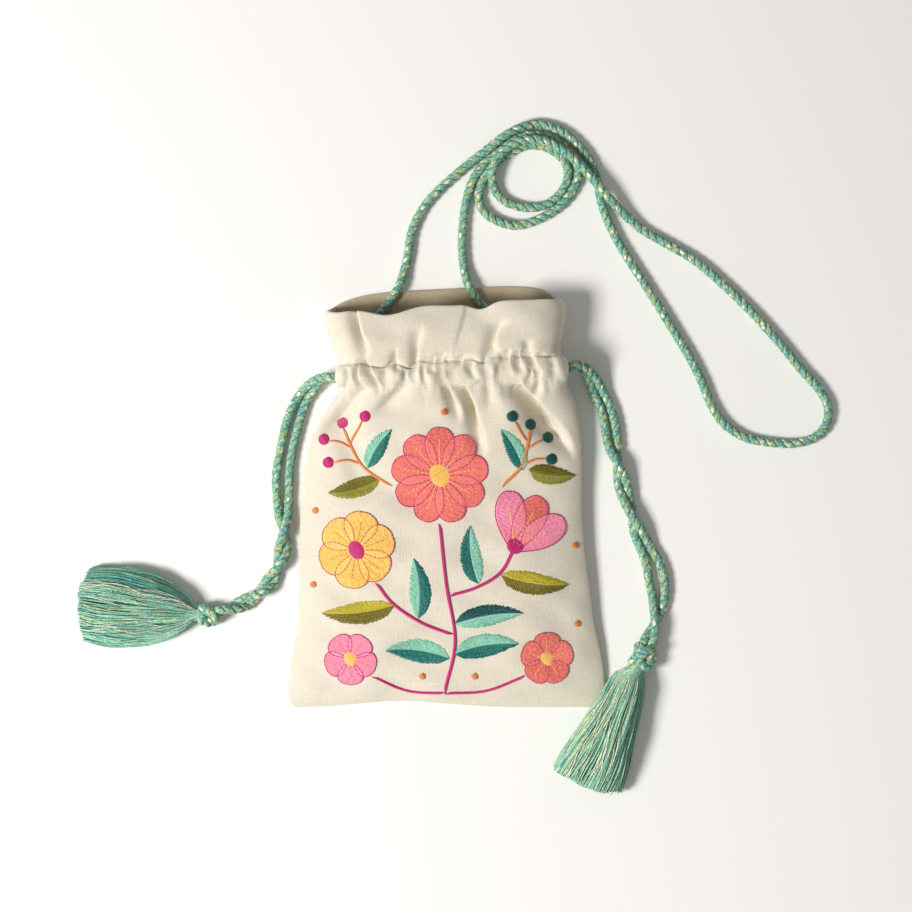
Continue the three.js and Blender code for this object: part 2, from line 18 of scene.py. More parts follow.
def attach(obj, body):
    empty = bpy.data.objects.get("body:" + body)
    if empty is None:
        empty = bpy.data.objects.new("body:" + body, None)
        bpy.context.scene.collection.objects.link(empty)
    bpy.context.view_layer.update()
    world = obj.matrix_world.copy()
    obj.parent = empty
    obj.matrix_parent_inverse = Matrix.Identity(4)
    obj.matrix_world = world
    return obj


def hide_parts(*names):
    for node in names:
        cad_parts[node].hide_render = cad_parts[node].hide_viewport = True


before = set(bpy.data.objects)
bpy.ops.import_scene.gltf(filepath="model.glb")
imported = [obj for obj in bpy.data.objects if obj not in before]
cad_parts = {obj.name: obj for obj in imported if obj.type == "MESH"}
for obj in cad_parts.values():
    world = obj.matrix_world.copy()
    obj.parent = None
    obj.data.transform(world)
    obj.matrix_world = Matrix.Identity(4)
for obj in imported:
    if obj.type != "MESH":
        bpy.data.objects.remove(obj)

MM = 0.001
scene = bpy.context.scene
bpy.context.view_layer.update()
print("solids:", sorted(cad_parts))

# %% [markdown]
# ## Camera
# The pouch is seen from straight above. A long lens far away keeps the sides of the ruffle and the cords
# from leaning outwards. The height and the width of the picture on the table give the focal length.

# %% Set up the camera
PICTURE_WIDTH = 419.5 * MM
PICTURE_MIDDLE = (4.4 * MM, 18.9 * MM)
CAMERA_HEIGHT = 1.30
LEVEL_OF_FOCUS = 6 * MM

lens = bpy.data.cameras.new("overhead_camera")
lens.sensor_width = 36
lens.lens = lens.sensor_width * (CAMERA_HEIGHT - LEVEL_OF_FOCUS) / PICTURE_WIDTH
camera = bpy.data.objects.new("overhead_camera", lens)
camera.location = (*PICTURE_MIDDLE, CAMERA_HEIGHT)
scene.collection.objects.link(camera)
scene.camera = camera
print("focal length in mm:", round(lens.lens, 1))

# %% [markdown]
# ## Light and table
# A window to the left models the folds, and a bright room fills the shadows. One area light and an
# even white world do that. The Standard view keeps the white of the table and the colours of the threads
# as they are given, where a filmic view would grey them.

# %% Set up light and table
KEY_PLACE = Vector((-1.08, -0.36, 1.17))
KEY_SIZE = 0.45
KEY_WATTS = 29.5
ROOM_LIGHT = 0.29
TABLE_HALF = 3.0
TABLE_TOP = -0.05 * MM     # a hair under the pieces, so that no two faces share a place

scene.view_settings.view_transform = "Standard"
world = bpy.data.worlds.new("bright_room")
world.use_nodes = True
world.node_tree.nodes["Background"].inputs["Color"].default_value = (1.0, 0.99, 0.97, 1)
world.node_tree.nodes["Background"].inputs["Strength"].default_value = ROOM_LIGHT
scene.world = world

window = bpy.data.lights.new("window", "AREA")
window.energy = KEY_WATTS
window.size = KEY_SIZE
window.color = (1.0, 0.98, 0.95)
window_object = bpy.data.objects.new("window", window)
window_object.location = KEY_PLACE
window_object.rotation_euler = (-KEY_PLACE).to_track_quat("-Z", "Y").to_euler()
scene.collection.objects.link(window_object)

table_mesh = bpy.data.meshes.new("table")
ends = (-TABLE_HALF, TABLE_HALF)
table_mesh.from_pydata([(x, y, 0) for y in ends for x in ends], [], [(0, 1, 3, 2)])
table = bpy.data.objects.new("table", table_mesh)
table.location.z = TABLE_TOP
scene.collection.objects.link(table)
print("lit by a window of", KEY_WATTS, "W and a room at", ROOM_LIGHT)

# %% [markdown]
# ## Small helpers for materials
# Every finish here is a small tree of shader nodes. `put` adds one node and fills its inputs in order: an
# output of another node is linked, and a plain value is set. `calc` and `mix` shorten the two commonest.
# `raise_grain` lets the height of a pattern bend the light, which is enough for fibres and weave.

# %% Helpers for shader nodes
def put(tree, kind, *inputs, **options):
    node = tree.nodes.new(kind)
    for name, value in options.items():
        setattr(node, name, value)
    for socket, value in zip(node.inputs, inputs):
        if isinstance(value, bpy.types.NodeSocket):
            tree.links.new(value, socket)
        elif value is not None:
            socket.default_value = value
    return node


def calc(tree, operation, *inputs):
    return put(tree, "ShaderNodeMath", *inputs, operation=operation).outputs[0]


def mix(tree, share, first, second, blend="MIX"):
    unused = [None] * 5
    node = put(tree, "ShaderNodeMix", share, *unused, first, second, data_type="RGBA", blend_type=blend)
    return node.outputs[2]


def noise(tree, place, scale, detail=2.0):
    return put(tree, "ShaderNodeTexNoise", place, None, scale, detail).outputs[0]


def soft_step(tree, value, low, high):
    node = put(tree, "ShaderNodeMapRange", value, low, high, 0.0, 1.0, interpolation_type="SMOOTHSTEP")
    return node.outputs[0]


def finish(name, **sockets):
    material = bpy.data.materials.new(name)
    material.use_nodes = True
    surface = material.node_tree.nodes["Principled BSDF"]
    for socket, value in sockets.items():
        surface.inputs[socket.replace("_", " ")].default_value = value
    return material, material.node_tree, surface


def raise_grain(tree, surface, height, strength, depth):
    bump = put(tree, "ShaderNodeBump", strength, depth)
    tree.links.new(height, bump.inputs["Height"])
    tree.links.new(bump.outputs[0], surface.inputs["Normal"])
    return bump


def paint(red, green, blue):
    """A colour given as it looks on a screen, from 0 to 255, in the linear light that Blender uses."""
    parts = np.array([red, green, blue]) / 255
    linear = np.where(parts <= 0.04045, parts / 12.92, ((parts + 0.055) / 1.055) ** 2.4)
    return (*linear.tolist(), 1.0)


table_white, _, _ = finish("table_white", Base_Color=paint(246, 245, 243), Roughness=0.7)
table_mesh.materials.append(table_white)

# %% [markdown]
# ## The rope's yarn
# The ropes are twisted from sea-green yarn with a thin gold thread in it. Three things make that look:
# fibres that run nearly straight along the rope while the plies wind round it, slow changes of dye from
# mint to teal, and short gold glints where the metal thread comes to the surface. They follow the rope,
# so they read its UV map: u counts the plies round the rope, and v counts its turns along the length.
# The glints are the middles of some stretched Voronoi cells, which scatters them without a beat.

# %% Finish of the rope
FIBRE_SLANT = 1.6                        # plies that a fibre crosses in one turn of the rope
FIBRES, FIBRES_ALONG = 6.5, 7.0          # coarse fibres over the width of a ply and in one turn
DYE_ALONG, DYE_AROUND = 1.7, 1.3         # changes of dye in one turn and from ply to ply
GROOVE_SHADE = 0.6                       # how dark the grooves between the plies get
FLECK_ACROSS, FLECK_ALONG = 2.5, 1.8     # places for gold flecks over one ply's width and in one turn
FLECK_SIZE, FLECK_SHARE = 0.24, 0.5      # reach of a fleck, and the share of the places that have one
FIBRE_DEPTH = 0.35 * MM


def rope_finish():
    material, tree, surface = finish("rope_yarn", Sheen_Weight=0.2, Sheen_Roughness=0.4)
    place = put(tree, "ShaderNodeTexCoord").outputs["UV"]
    around, along, _ = put(tree, "ShaderNodeSeparateXYZ", place).outputs
    in_ply = calc(tree, "FRACT", around)
    slanted = calc(tree, "MULTIPLY_ADD", along, FIBRE_SLANT, around)
    fibre_place = put(tree, "ShaderNodeCombineXYZ", calc(tree, "MULTIPLY", slanted, FIBRES),
                      calc(tree, "MULTIPLY", along, FIBRES_ALONG)).outputs[0]
    fibres = noise(tree, fibre_place, 1.0, 4.0)
    slow_place = put(tree, "ShaderNodeCombineXYZ", calc(tree, "MULTIPLY", along, DYE_ALONG),
                     calc(tree, "MULTIPLY", around, DYE_AROUND)).outputs[0]
    slow = noise(tree, slow_place, 1.0, 1.0)

    light = soft_step(tree, fibres, 0.32, 0.66)
    moss = mix(tree, light, paint(100, 142, 92), paint(184, 208, 154))
    mint = mix(tree, light, paint(84, 146, 118), paint(170, 210, 178))
    teal = mix(tree, light, paint(58, 132, 128), paint(136, 196, 186))
    dyed = mix(tree, soft_step(tree, slow, 0.36, 0.44), moss, mint)
    dyed = mix(tree, soft_step(tree, slow, 0.52, 0.60), dyed, teal)
    # painted shade: the colour darkens towards the grooves between the plies
    from_crest = calc(tree, "ABSOLUTE", calc(tree, "SUBTRACT", in_ply, 0.5))
    groove = soft_step(tree, from_crest, 0.30, 0.5)
    shaded = mix(tree, calc(tree, "MULTIPLY", groove, GROOVE_SHADE), dyed, paint(42, 88, 78))

    fleck_place = put(tree, "ShaderNodeCombineXYZ", calc(tree, "MULTIPLY", slanted, FLECK_ACROSS),
                      calc(tree, "MULTIPLY", along, FLECK_ALONG)).outputs[0]
    cells = put(tree, "ShaderNodeTexVoronoi", fleck_place, voronoi_dimensions="2D")
    cells.inputs["Scale"].default_value = 1.0
    near = calc(tree, "LESS_THAN", cells.outputs["Distance"], FLECK_SIZE)
    chance = put(tree, "ShaderNodeSeparateColor", cells.outputs["Color"]).outputs[0]
    gold = calc(tree, "MULTIPLY", near, calc(tree, "LESS_THAN", chance, FLECK_SHARE))
    # partly painted glint: where the gold thread comes up, the colour turns a pale cream that stands for its
    # shine; the metal share and lower roughness are the thread's own
    tree.links.new(mix(tree, gold, shaded, paint(242, 230, 196)), surface.inputs["Base Color"])
    tree.links.new(calc(tree, "MULTIPLY", gold, 0.25), surface.inputs["Metallic"])
    tree.links.new(calc(tree, "MULTIPLY_ADD", gold, -0.2, 0.62), surface.inputs["Roughness"])
    raise_grain(tree, surface, calc(tree, "MULTIPLY_ADD", gold, 0.5, fibres), 0.9, FIBRE_DEPTH)
    return material


rope_yarn = rope_finish()
print("made", rope_yarn.name, "with", len(rope_yarn.node_tree.nodes), "nodes")

# %% [markdown]
# ## Lines and tubes
# A rope starts as a smooth line through a few given points. The line is cut into equal steps,
# and a frame of two directions is carried along it without spinning, so that the only twist is the one
# that the plies get. `grid_faces` joins rings or rows of points and keeps each corner's place for the UV.

# %% Helpers for lines
ANY_WAY = (0.13, 0.31, 0.94)     # a direction that no line here starts in


def smooth_line(points, step):
    """A centripetal Catmull-Rom curve through the points, cut into equal steps."""
    p = np.asarray(points, float)
    p = np.vstack([2 * p[0] - p[1], p, 2 * p[-1] - p[-2]])
    f = np.linspace(0, 1, 30, endpoint=False)[:, None]
    dense = []
    for a, b, c, d in zip(p[:-3], p[1:-2], p[2:-1], p[3:]):
        before, here, after = (math.sqrt(np.linalg.norm(q)) for q in (b - a, c - b, d - c))
        leave = ((b - a) / before - (c - a) / (before + here) + (c - b) / here) * here
        reach = ((c - b) / here - (d - b) / (here + after) + (d - c) / after) * here
        dense.append((2 * f**3 - 3 * f**2 + 1) * b + (f**3 - 2 * f**2 + f) * leave
                     + (3 * f**2 - 2 * f**3) * c + (f**3 - f**2) * reach)
    dense = np.vstack([*dense, p[-2:-1]])
    far = np.concatenate([[0], np.cumsum(np.linalg.norm(np.diff(dense, axis=0), axis=1))])
    at = np.linspace(0, far[-1], max(2, round(far[-1] / step) + 1))
    return np.stack([np.interp(at, far, dense[:, k]) for k in range(3)], axis=1)


def carried_frame(line):
    """Two directions across a line at each of its points, carried along without spinning."""
    along = np.gradient(line, axis=0)
    along /= np.linalg.norm(along, axis=1, keepdims=True)
    first = np.cross(along[0], ANY_WAY)
    normals = [first / np.linalg.norm(first)]
    for direction in along[1:]:
        carried = normals[-1] - direction * np.dot(direction, normals[-1])
        normals.append(carried / np.linalg.norm(carried))
    normals = np.array(normals)
    return normals, np.cross(along, normals)


# %% Helpers for meshes
def grid_faces(rows, columns, wrap=False):
    """Four-cornered faces over a grid of points, and each corner's column and row before it wraps."""
    i, j = np.meshgrid(np.arange(columns if wrap else columns - 1), np.arange(rows - 1))
    i, j = i.ravel(), j.ravel()
    corners = np.stack([[i, j], [i + 1, j], [i + 1, j + 1], [i, j + 1]]).transpose(2, 0, 1)
    return corners[..., 1] * columns + corners[..., 0] % columns, corners


def make_piece(name, points, faces, material, uv=None):
    """A smooth-shaded mesh object; uv has one row for each corner of the faces that come first."""
    mesh = bpy.data.meshes.new(name)
    mesh.from_pydata(np.asarray(points).tolist(), [], [list(map(int, face)) for face in faces])
    if uv is not None:
        layer = mesh.uv_layers.new(name="UVMap")
        flat = np.zeros((len(mesh.loops), 2), np.float32)
        flat[:len(uv)] = uv
        layer.data.foreach_set("uv", flat.ravel())
    mesh.shade_smooth()
    mesh.materials.append(material)
    piece = bpy.data.objects.new(name, mesh)
    scene.collection.objects.link(piece)
    return piece


def triangles_of(piece):
    return sum(len(polygon.vertices) - 2 for polygon in piece.data.polygons)


# %% [markdown]
# ## Twisted rope
# The rope is two soft plies twisted hard round each other. Two separate tubes would bury half of their
# faces, so one nearly round outline with two grooves is swept along the line instead and turned as it
# goes. The plies press each other flat, so the outline stays full right up to the grooves. They climb
# like the thread of a common screw.

# %% Sweep a rope
ROPE_CRESTS = 4.35 * MM      # over the crests of the plies, which stand proud of the laid rope
LAY_LENGTH = 8.2 * MM        # along the rope for one full turn of a ply
PLIES = 2
PLY_POINTS = (-90, -80, -66, -48, -24, 0, 24, 48, 66, 80)     # degrees from a ply's middle
GROOVE = 0.28                # depth of the grooves as a share of the radius
ROPE_STEP = 0.7 * MM


def rope_outline(diameter):
    off = np.tile(PLY_POINTS, PLIES)
    angles = np.radians(off + np.repeat(np.arange(PLIES) * 360 / PLIES, len(PLY_POINTS)))
    radii = diameter / 2 * (1 - GROOVE * np.abs(off / 90) ** 4)
    return angles, radii


def laid_line(points):
    """The smooth line of a rope, kept high enough for its crests to rest on the table."""
    line = smooth_line(np.array(points) * MM, ROPE_STEP)
    line[:, 2] = np.maximum(line[:, 2], ROPE_CRESTS / 2)
    return line


def rope_piece(name, line, diameter):
    angles, radii = rope_outline(diameter)
    normals, sides = carried_frame(line)
    step = np.linalg.norm(line[1] - line[0])
    turned = 2 * np.pi * np.arange(len(line)) * step / LAY_LENGTH
    spin = turned[:, None] + angles
    rings = (line[:, None] + (radii * np.cos(spin))[..., None] * normals[:, None]
             + (radii * np.sin(spin))[..., None] * sides[:, None])
    faces, corners = grid_faces(len(line), len(angles), wrap=True)
    uv = corners.reshape(-1, 2) * (PLIES / len(angles), step / LAY_LENGTH)
    last = len(line) * len(angles)
    caps = [list(range(len(angles)))[::-1], list(range(last - len(angles), last))]
    return make_piece(name, rings.reshape(-1, 3), [*faces, *caps], rope_yarn, uv)


# %% [markdown]
# ## The shoulder strap
# The strap leaves the left side seam of the ruffle, runs out over the back rim, crosses itself, makes one
# long loop over the table and a coil of nearly two turns, and comes back to the right side seam. It lies
# under its own weight and rides over itself only where it crosses. The points repeat the solid's route.

# %% Lay the strap
STRAP_ROUTE = [
    (-49.7, 71.0, 12.8), (-46.4, 72.2, 9.8), (-41.0, 75.0, 6.4), (-34.0, 81.0, 4.4), (-27.0, 89.0, 4.1),
    (-22.0, 97.0, 4.1), (-19.3, 105.0, 2.4), (-17.6, 112.7, 1.95), (-16.8, 119.5, 1.95),
    (-14.4, 126.6, 1.95), (-10.3, 133.9, 1.95), (-3.0, 142.1, 1.95), (5.3, 149.5, 1.95),
    (13.1, 155.9, 3.0), (20.0, 161.0, 4.7), (26.9, 166.3, 5.2), (33.8, 170.0, 4.2), (41.2, 172.0, 2.4),
    (48.1, 170.9, 1.95), (54.5, 167.8, 1.95), (60.2, 162.9, 1.95), (65.0, 157.0, 1.95),
    (68.1, 151.0, 1.95), (69.9, 144.4, 1.95), (71.3, 136.6, 1.95), (74.1, 128.3, 1.95),
    (78.9, 118.2, 1.95), (84.4, 109.0, 1.95), (91.3, 98.4, 1.95), (98.2, 87.4, 1.95),
    (105.6, 75.4, 1.95), (112.4, 64.0, 1.95), (117.5, 53.8, 1.95), (121.9, 43.0, 1.95),
    (128.0, 33.8, 1.95), (137.4, 27.6, 1.95), (148.8, 25.2, 1.95), (160.6, 24.7, 1.95),
    (169.4, 27.2, 1.95), (175.0, 33.1, 1.95), (176.0, 41.6, 1.95), (171.6, 50.0, 1.95),
    (164.0, 58.4, 1.95), (153.4, 71.3, 1.95), (140.5, 85.6, 1.95), (126.7, 98.9, 1.95),
    (114.8, 109.0, 1.95), (101.9, 116.6, 1.95), (89.9, 123.6, 2.2), (81.2, 131.0, 3.6),
    (75.2, 137.3, 5.4), (70.6, 142.4, 6.3), (66.6, 147.2, 6.3), (62.0, 152.3, 6.3), (56.8, 157.0, 6.3),
    (50.8, 161.2, 6.2), (43.5, 164.2, 6.1), (36.1, 164.2, 6.1), (30.0, 161.9, 6.3), (25.4, 158.2, 6.3),
    (22.2, 153.6, 6.1), (20.9, 148.1, 4.9), (21.9, 142.6, 2.9), (25.5, 137.5, 1.95), (32.0, 134.3, 1.95),
    (39.3, 133.4, 1.95), (46.6, 135.2, 1.95), (52.2, 139.6, 1.95), (55.4, 145.2, 1.95),
    (56.0, 150.6, 1.95), (54.2, 155.2, 1.95), (50.2, 159.0, 1.95), (44.4, 161.7, 1.95),
    (38.0, 162.1, 1.95), (32.6, 160.6, 1.95), (27.8, 157.8, 1.95), (23.0, 154.0, 1.95),
    (18.8, 149.3, 1.95), (16.1, 144.0, 1.95), (14.9, 138.5, 1.95), (16.2, 133.4, 1.95),
    (19.8, 129.3, 1.95), (25.5, 126.5, 1.95), (32.4, 125.2, 1.95), (39.8, 126.9, 1.95),
    (46.6, 130.2, 1.95), (52.8, 134.6, 1.95), (57.4, 140.2, 1.95), (60.2, 145.8, 1.95),
    (60.9, 150.8, 1.95), (59.0, 156.2, 1.95), (54.4, 161.4, 1.95), (49.0, 165.1, 1.95),
    (43.0, 166.9, 1.95), (37.0, 166.9, 1.95), (31.4, 165.0, 1.95), (25.8, 161.4, 1.95),
    (20.0, 156.4, 1.95), (14.9, 150.6, 1.95), (11.4, 144.2, 1.95), (9.5, 138.0, 1.95),
    (8.0, 129.7, 1.95), (7.2, 117.3, 1.95), (8.0, 106.0, 2.3), (10.5, 97.0, 4.1), (16.5, 88.0, 4.2),
    (26.0, 80.6, 4.4), (38.0, 76.6, 5.6), (45.8, 75.4, 9.4), (49.9, 75.4, 13.0),
]

strap_line = laid_line(STRAP_ROUTE)
strap = rope_piece("strap_rope", strap_line, ROPE_CRESTS)
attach(strap, "root")
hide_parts("shoulder_strap")
print("strap:", triangles_of(strap), "triangles")

# %% [markdown]
# ## The drawcords
# Each drawcord is one rope. It starts in its knot, enters the casing at one side, goes right round the
# neck, comes out at the same side and ends in the same knot. Outside the pouch its two strands lie side
# by side, then wind round each other. Each row below gives the middle of the pair, how far apart the
# strands are, and how far the pair has turned about its own line.

# %% Where the pairs of strands lie
PAIR_LEFT = [
    (-54.5, 55.0, 12.6, 4.2, 90), (-59.0, 53.4, 8.8, 4.2, 112), (-63.2, 49.4, 4.2, 4.2, 152),
    (-67.0, 44.2, 2.0, 4.6, 180), (-69.7, 37.7, 1.95, 5.5, 180), (-72.0, 29.9, 1.95, 5.7, 180),
    (-73.8, 21.6, 1.95, 5.5, 180), (-75.2, 13.6, 1.95, 5.8, 180), (-75.5, 6.0, 1.95, 6.2, 180),
    (-75.4, -1.8, 1.95, 5.4, 180), (-75.2, -9.4, 2.6, 4.3, 200), (-75.0, -16.6, 3.9, 4.1, 270),
    (-75.4, -23.9, 2.8, 4.1, 345), (-77.3, -31.3, 3.9, 4.1, 430), (-80.7, -38.0, 2.8, 4.1, 515),
    (-85.3, -43.5, 3.9, 4.1, 600), (-91.3, -47.8, 3.2, 4.1, 690), (-97.6, -50.6, 4.4, 4.1, 775),
    (-103.5, -52.4, 5.6, 4.1, 830),
]
PAIR_RIGHT = [
    (59.2, 60.6, 12.6, 4.2, 90), (63.6, 58.8, 8.8, 4.2, 72), (67.2, 54.0, 4.6, 4.1, 36),
    (70.6, 47.4, 2.2, 4.2, 8), (73.8, 40.0, 1.95, 4.6, 0), (75.7, 31.7, 1.95, 5.0, 0),
    (77.0, 23.0, 2.4, 4.4, -24), (78.9, 15.2, 3.9, 4.1, -90), (81.2, 6.0, 2.8, 4.1, -160),
    (84.4, -5.1, 3.7, 4.1, -240), (88.1, -15.6, 2.9, 4.1, -325), (92.2, -24.4, 2.0, 4.6, -360),
    (95.2, -30.8, 1.95, 6.2, -360), (96.8, -37.3, 1.95, 7.2, -360), (97.8, -44.6, 1.95, 6.0, -360),
    (97.4, -52.0, 2.6, 4.3, -388), (95.9, -58.9, 3.9, 4.1, -455), (92.8, -67.0, 5.6, 4.1, -530),
]
STRAND_FLOOR = 2.04     # lowest middle of a strand over the table


def strands(rows):
    x, y, z, apart, turn = np.array(rows, float).T
    before = np.maximum(np.arange(len(x)) - 1, 0)
    after = np.minimum(np.arange(len(x)) + 1, len(x) - 1)
    heading = np.arctan2(y[after] - y[before], x[after] - x[before])
    side = apart / 2 * np.cos(np.radians(turn))
    up = apart / 2 * np.sin(np.radians(turn))
    across = np.stack([-np.sin(heading) * side, np.cos(heading) * side, up], axis=1)
    middle = np.stack([x, y, np.maximum(z, STRAND_FLOOR + np.abs(up))], axis=1)
    return middle + across, middle - across


# %% The way round the neck
NECK_LEFT, NECK_RIGHT = -50.8, 55.8
NECK_Y, NECK_SKEW, NECK_Z = 57.0, 1.8, 13.0
TURN_RADIUS, TURN_INSET, LANE = 7.65, 14.0, 2.15
CASING_MOUTH = ((14, 2.1, 0.3), (9, 2.6, 0.9))     # out from the run, over the neck, share of the lane


def neck_height(x):
    half = (NECK_RIGHT - NECK_LEFT) / 2
    return NECK_Y + NECK_SKEW * (x - (NECK_LEFT + NECK_RIGHT) / 2) / half


def neck_loop(on_left):
    lane = -LANE if on_left else LANE
    ends = NECK_LEFT + TURN_INSET, NECK_RIGHT - TURN_INSET
    near, far = ends if on_left else ends[::-1]
    inward = math.copysign(1, far - near)
    mouth = [(near - inward * out, z, share) for out, z, share in CASING_MOUTH]
    run = [(x, TURN_RADIUS, 1) for x in np.linspace(near, far, 8)]
    bends = np.radians(90 - 180 * np.arange(1, 8) / 8)
    turn = [(far + inward * TURN_RADIUS * math.cos(a), TURN_RADIUS * math.sin(a), 1) for a in bends]
    back = [(x, -z, share) for x, z, share in [*mouth, *run]][::-1]
    whole = [*mouth, *run, *turn, *back]
    return [(x, neck_height(x) + lane * share, NECK_Z + z) for x, z, share in whole]


# %% [markdown]
# ## The knots
# Both strands are tied into one fat knot above each tassel. A knot that is drawn tight shows crossing
# turns of the rope, and its middle is hidden. A closed trefoil, the line that crosses itself three times
# on a ring, gives just that when a rope of nearly full thickness follows it. The knot is pressed a little
# flat, as it lies on the table.

# %% Where the knots sit, and how one is tied
# middle of each knot in millimetres, and the way its tassel points in degrees
KNOTS = {"left": (-109.2, -54.2, 5.2, 175), "right": (90.4, -73.4, 5.9, 247)}
KNOT_SIZES = {"left": 0.95, "right": 1.08}
KNOT_ROPE = 4.5 * MM
KNOT_RING, KNOT_WEAVE, KNOT_LONG, KNOT_FLAT = 3.0, 0.8, 3.7, 0.84
INTO_KNOT = 2.6         # how far a strand's end reaches inside the knot


def along_heading(side, along, across, up):
    """Points beside the knot: along its heading, to its left, and up from its middle, in metres."""
    x, y, z, heading = KNOTS[side]
    c, s = math.cos(math.radians(heading)), math.sin(math.radians(heading))
    return np.stack([x + along * c - across * s, y + along * s + across * c, z + up], axis=-1) * MM


def knot_piece(side):
    a = np.linspace(0, 2 * np.pi, 160)
    size = KNOT_SIZES[side]
    ring = size * (KNOT_RING + KNOT_WEAVE * np.cos(3 * a))
    turns = along_heading(side, size * KNOT_LONG * np.sin(3 * a), ring * np.cos(2 * a),
                          KNOT_FLAT * ring * np.sin(2 * a))
    return rope_piece("knot_" + side + "_rope", smooth_line(turns[::3], ROPE_STEP), size * KNOT_ROPE)


# %% Tie the knots and lay the drawcords
drawcords = {}
for side, rows in (("left", PAIR_LEFT), ("right", PAIR_RIGHT)):
    upper, lower = strands(rows)
    knot_middle = np.array(KNOTS[side][:3])
    inside = [end + INTO_KNOT * (knot_middle - end) / np.linalg.norm(knot_middle - end)
              for end in (upper[-1], lower[-1])]
    route = [inside[0], *upper[::-1], *neck_loop(side == "left"), *lower, inside[1]]
    line = laid_line(route)
    rope = rope_piece("drawcord_" + side + "_rope", line, ROPE_CRESTS)
    knot = knot_piece(side)
    for piece, node in ((rope, "drawcord_" + side), (knot, "knot_" + side)):
        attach(piece, "root")
        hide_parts(node)
    long = float(np.linalg.norm(np.diff(line, axis=0), axis=1).sum())
    drawcords[side] = (rope, knot, line, round(long, 2))
    print("drawcord", side, round(long, 3), "m,", triangles_of(rope), "triangles, knot", triangles_of(knot))

# %% [markdown]
# ## Threads by geometry nodes
# Tassels and embroidery are thousands of threads. Each one is first drawn as a thin line of points with
# its dye, its thickness and a mark for metal. One tree of geometry nodes then gives every line a round
# body. The result is turned into a plain mesh, because the instances and the tree stay behind on export.

# %% The tree that gives lines a body
def new_tree(name, **sockets):
    tree = bpy.data.node_groups.new(name, "GeometryNodeTree")
    tree.interface.new_socket("Geometry", in_out="INPUT", socket_type="NodeSocketGeometry")
    for label, kind in sockets.items():
        tree.interface.new_socket(label.replace("_", " "), in_out="INPUT", socket_type=kind)
    tree.interface.new_socket("Geometry", in_out="OUTPUT", socket_type="NodeSocketGeometry")
    return tree, tree.nodes.new("NodeGroupInput").outputs


def close_tree(tree, geometry, material):
    smooth = put(tree, "GeometryNodeSetShadeSmooth", geometry)
    real = put(tree, "GeometryNodeRealizeInstances", smooth.outputs[0])
    coated = put(tree, "GeometryNodeSetMaterial", real.outputs[0], None, material)
    put(tree, "NodeGroupOutput", coated.outputs[0])


def thread_tree():
    tree, given = new_tree("threads", Sides="NodeSocketInt", Yarn="NodeSocketMaterial")
    lines = put(tree, "GeometryNodeMeshToCurve", given["Geometry"])
    profile = put(tree, "GeometryNodeCurvePrimitiveCircle", given["Sides"])
    profile.inputs["Radius"].default_value = 1.0
    thick = put(tree, "GeometryNodeInputNamedAttribute", "thick", data_type="FLOAT")
    body = put(tree, "GeometryNodeCurveToMesh", lines.outputs[0], profile.outputs[0], thick.outputs[0], True)
    close_tree(tree, body.outputs[0], given["Yarn"])
    return tree


threads = thread_tree()
print("made the tree", threads.name, "with", len(threads.nodes), "nodes")


# %% Turn lines into threads
def grow(piece, tree, **values):
    """Runs a tree on a piece, keeps the result as the piece's own mesh, and takes the tree off again."""
    modifier = piece.modifiers.new(tree.name, "NODES")
    modifier.node_group = tree
    labels = {item.name: item.identifier for item in tree.interface.items_tree if item.in_out == "INPUT"}
    for label, value in values.items():
        modifier[labels[label.replace("_", " ")]] = value
    depsgraph = bpy.context.evaluated_depsgraph_get()
    grown = bpy.data.meshes.new_from_object(piece.evaluated_get(depsgraph), depsgraph=depsgraph)
    piece.modifiers.clear()
    piece.data = grown
    return piece


def thread_piece(name, lines, dyes, thick, gilt, bulge, sides, yarn):
    """Threads along lines in metres, each with a dye, half a thickness, its metal and its way to bulge."""
    sizes = [len(line) for line in lines]
    starts = np.concatenate([[0], np.cumsum(sizes)[:-1]])
    edges = np.concatenate([np.stack([s + np.arange(n - 1), s + np.arange(1, n)], axis=1)
                            for s, n in zip(starts, sizes)])
    mesh = bpy.data.meshes.new(name)
    mesh.from_pydata(np.vstack(lines).tolist(), edges.tolist(), [])
    colour = mesh.attributes.new("dye", "FLOAT_COLOR", "POINT")
    colour.data.foreach_set("color", np.repeat(np.array(dyes, np.float32), sizes, axis=0).ravel())
    for label, values in (("thick", thick), ("gilt", gilt)):
        layer = mesh.attributes.new(label, "FLOAT", "POINT")
        layer.data.foreach_set("value", np.repeat(np.array(values, np.float32), sizes))
    outward = mesh.attributes.new("bulge", "FLOAT_VECTOR", "POINT")
    outward.data.foreach_set("vector", np.repeat(np.array(bulge, np.float32), sizes, axis=0).ravel())
    piece = bpy.data.objects.new(name, mesh)
    scene.collection.objects.link(piece)
    return grow(piece, threads, Sides=sides, Yarn=yarn)


# %% [markdown]
# ## The finish of loose yarn
# Tassel yarn is softer than the rope and has a silky shine. The dye comes with each strand, so the
# material reads it from the mesh, and adds a fine change of tone along the fibres. Strands marked as
# metal turn into flat gold thread. Light that scatters between thousands of strands makes a bundle look
# round and soft, so each strand's normal leans the way that the bundle bulges there.

# %% Finish of threads
GOLD_METAL, GOLD_ROUGHNESS = 0.1, 0.4
THREAD_GRAIN = 0.1 * MM


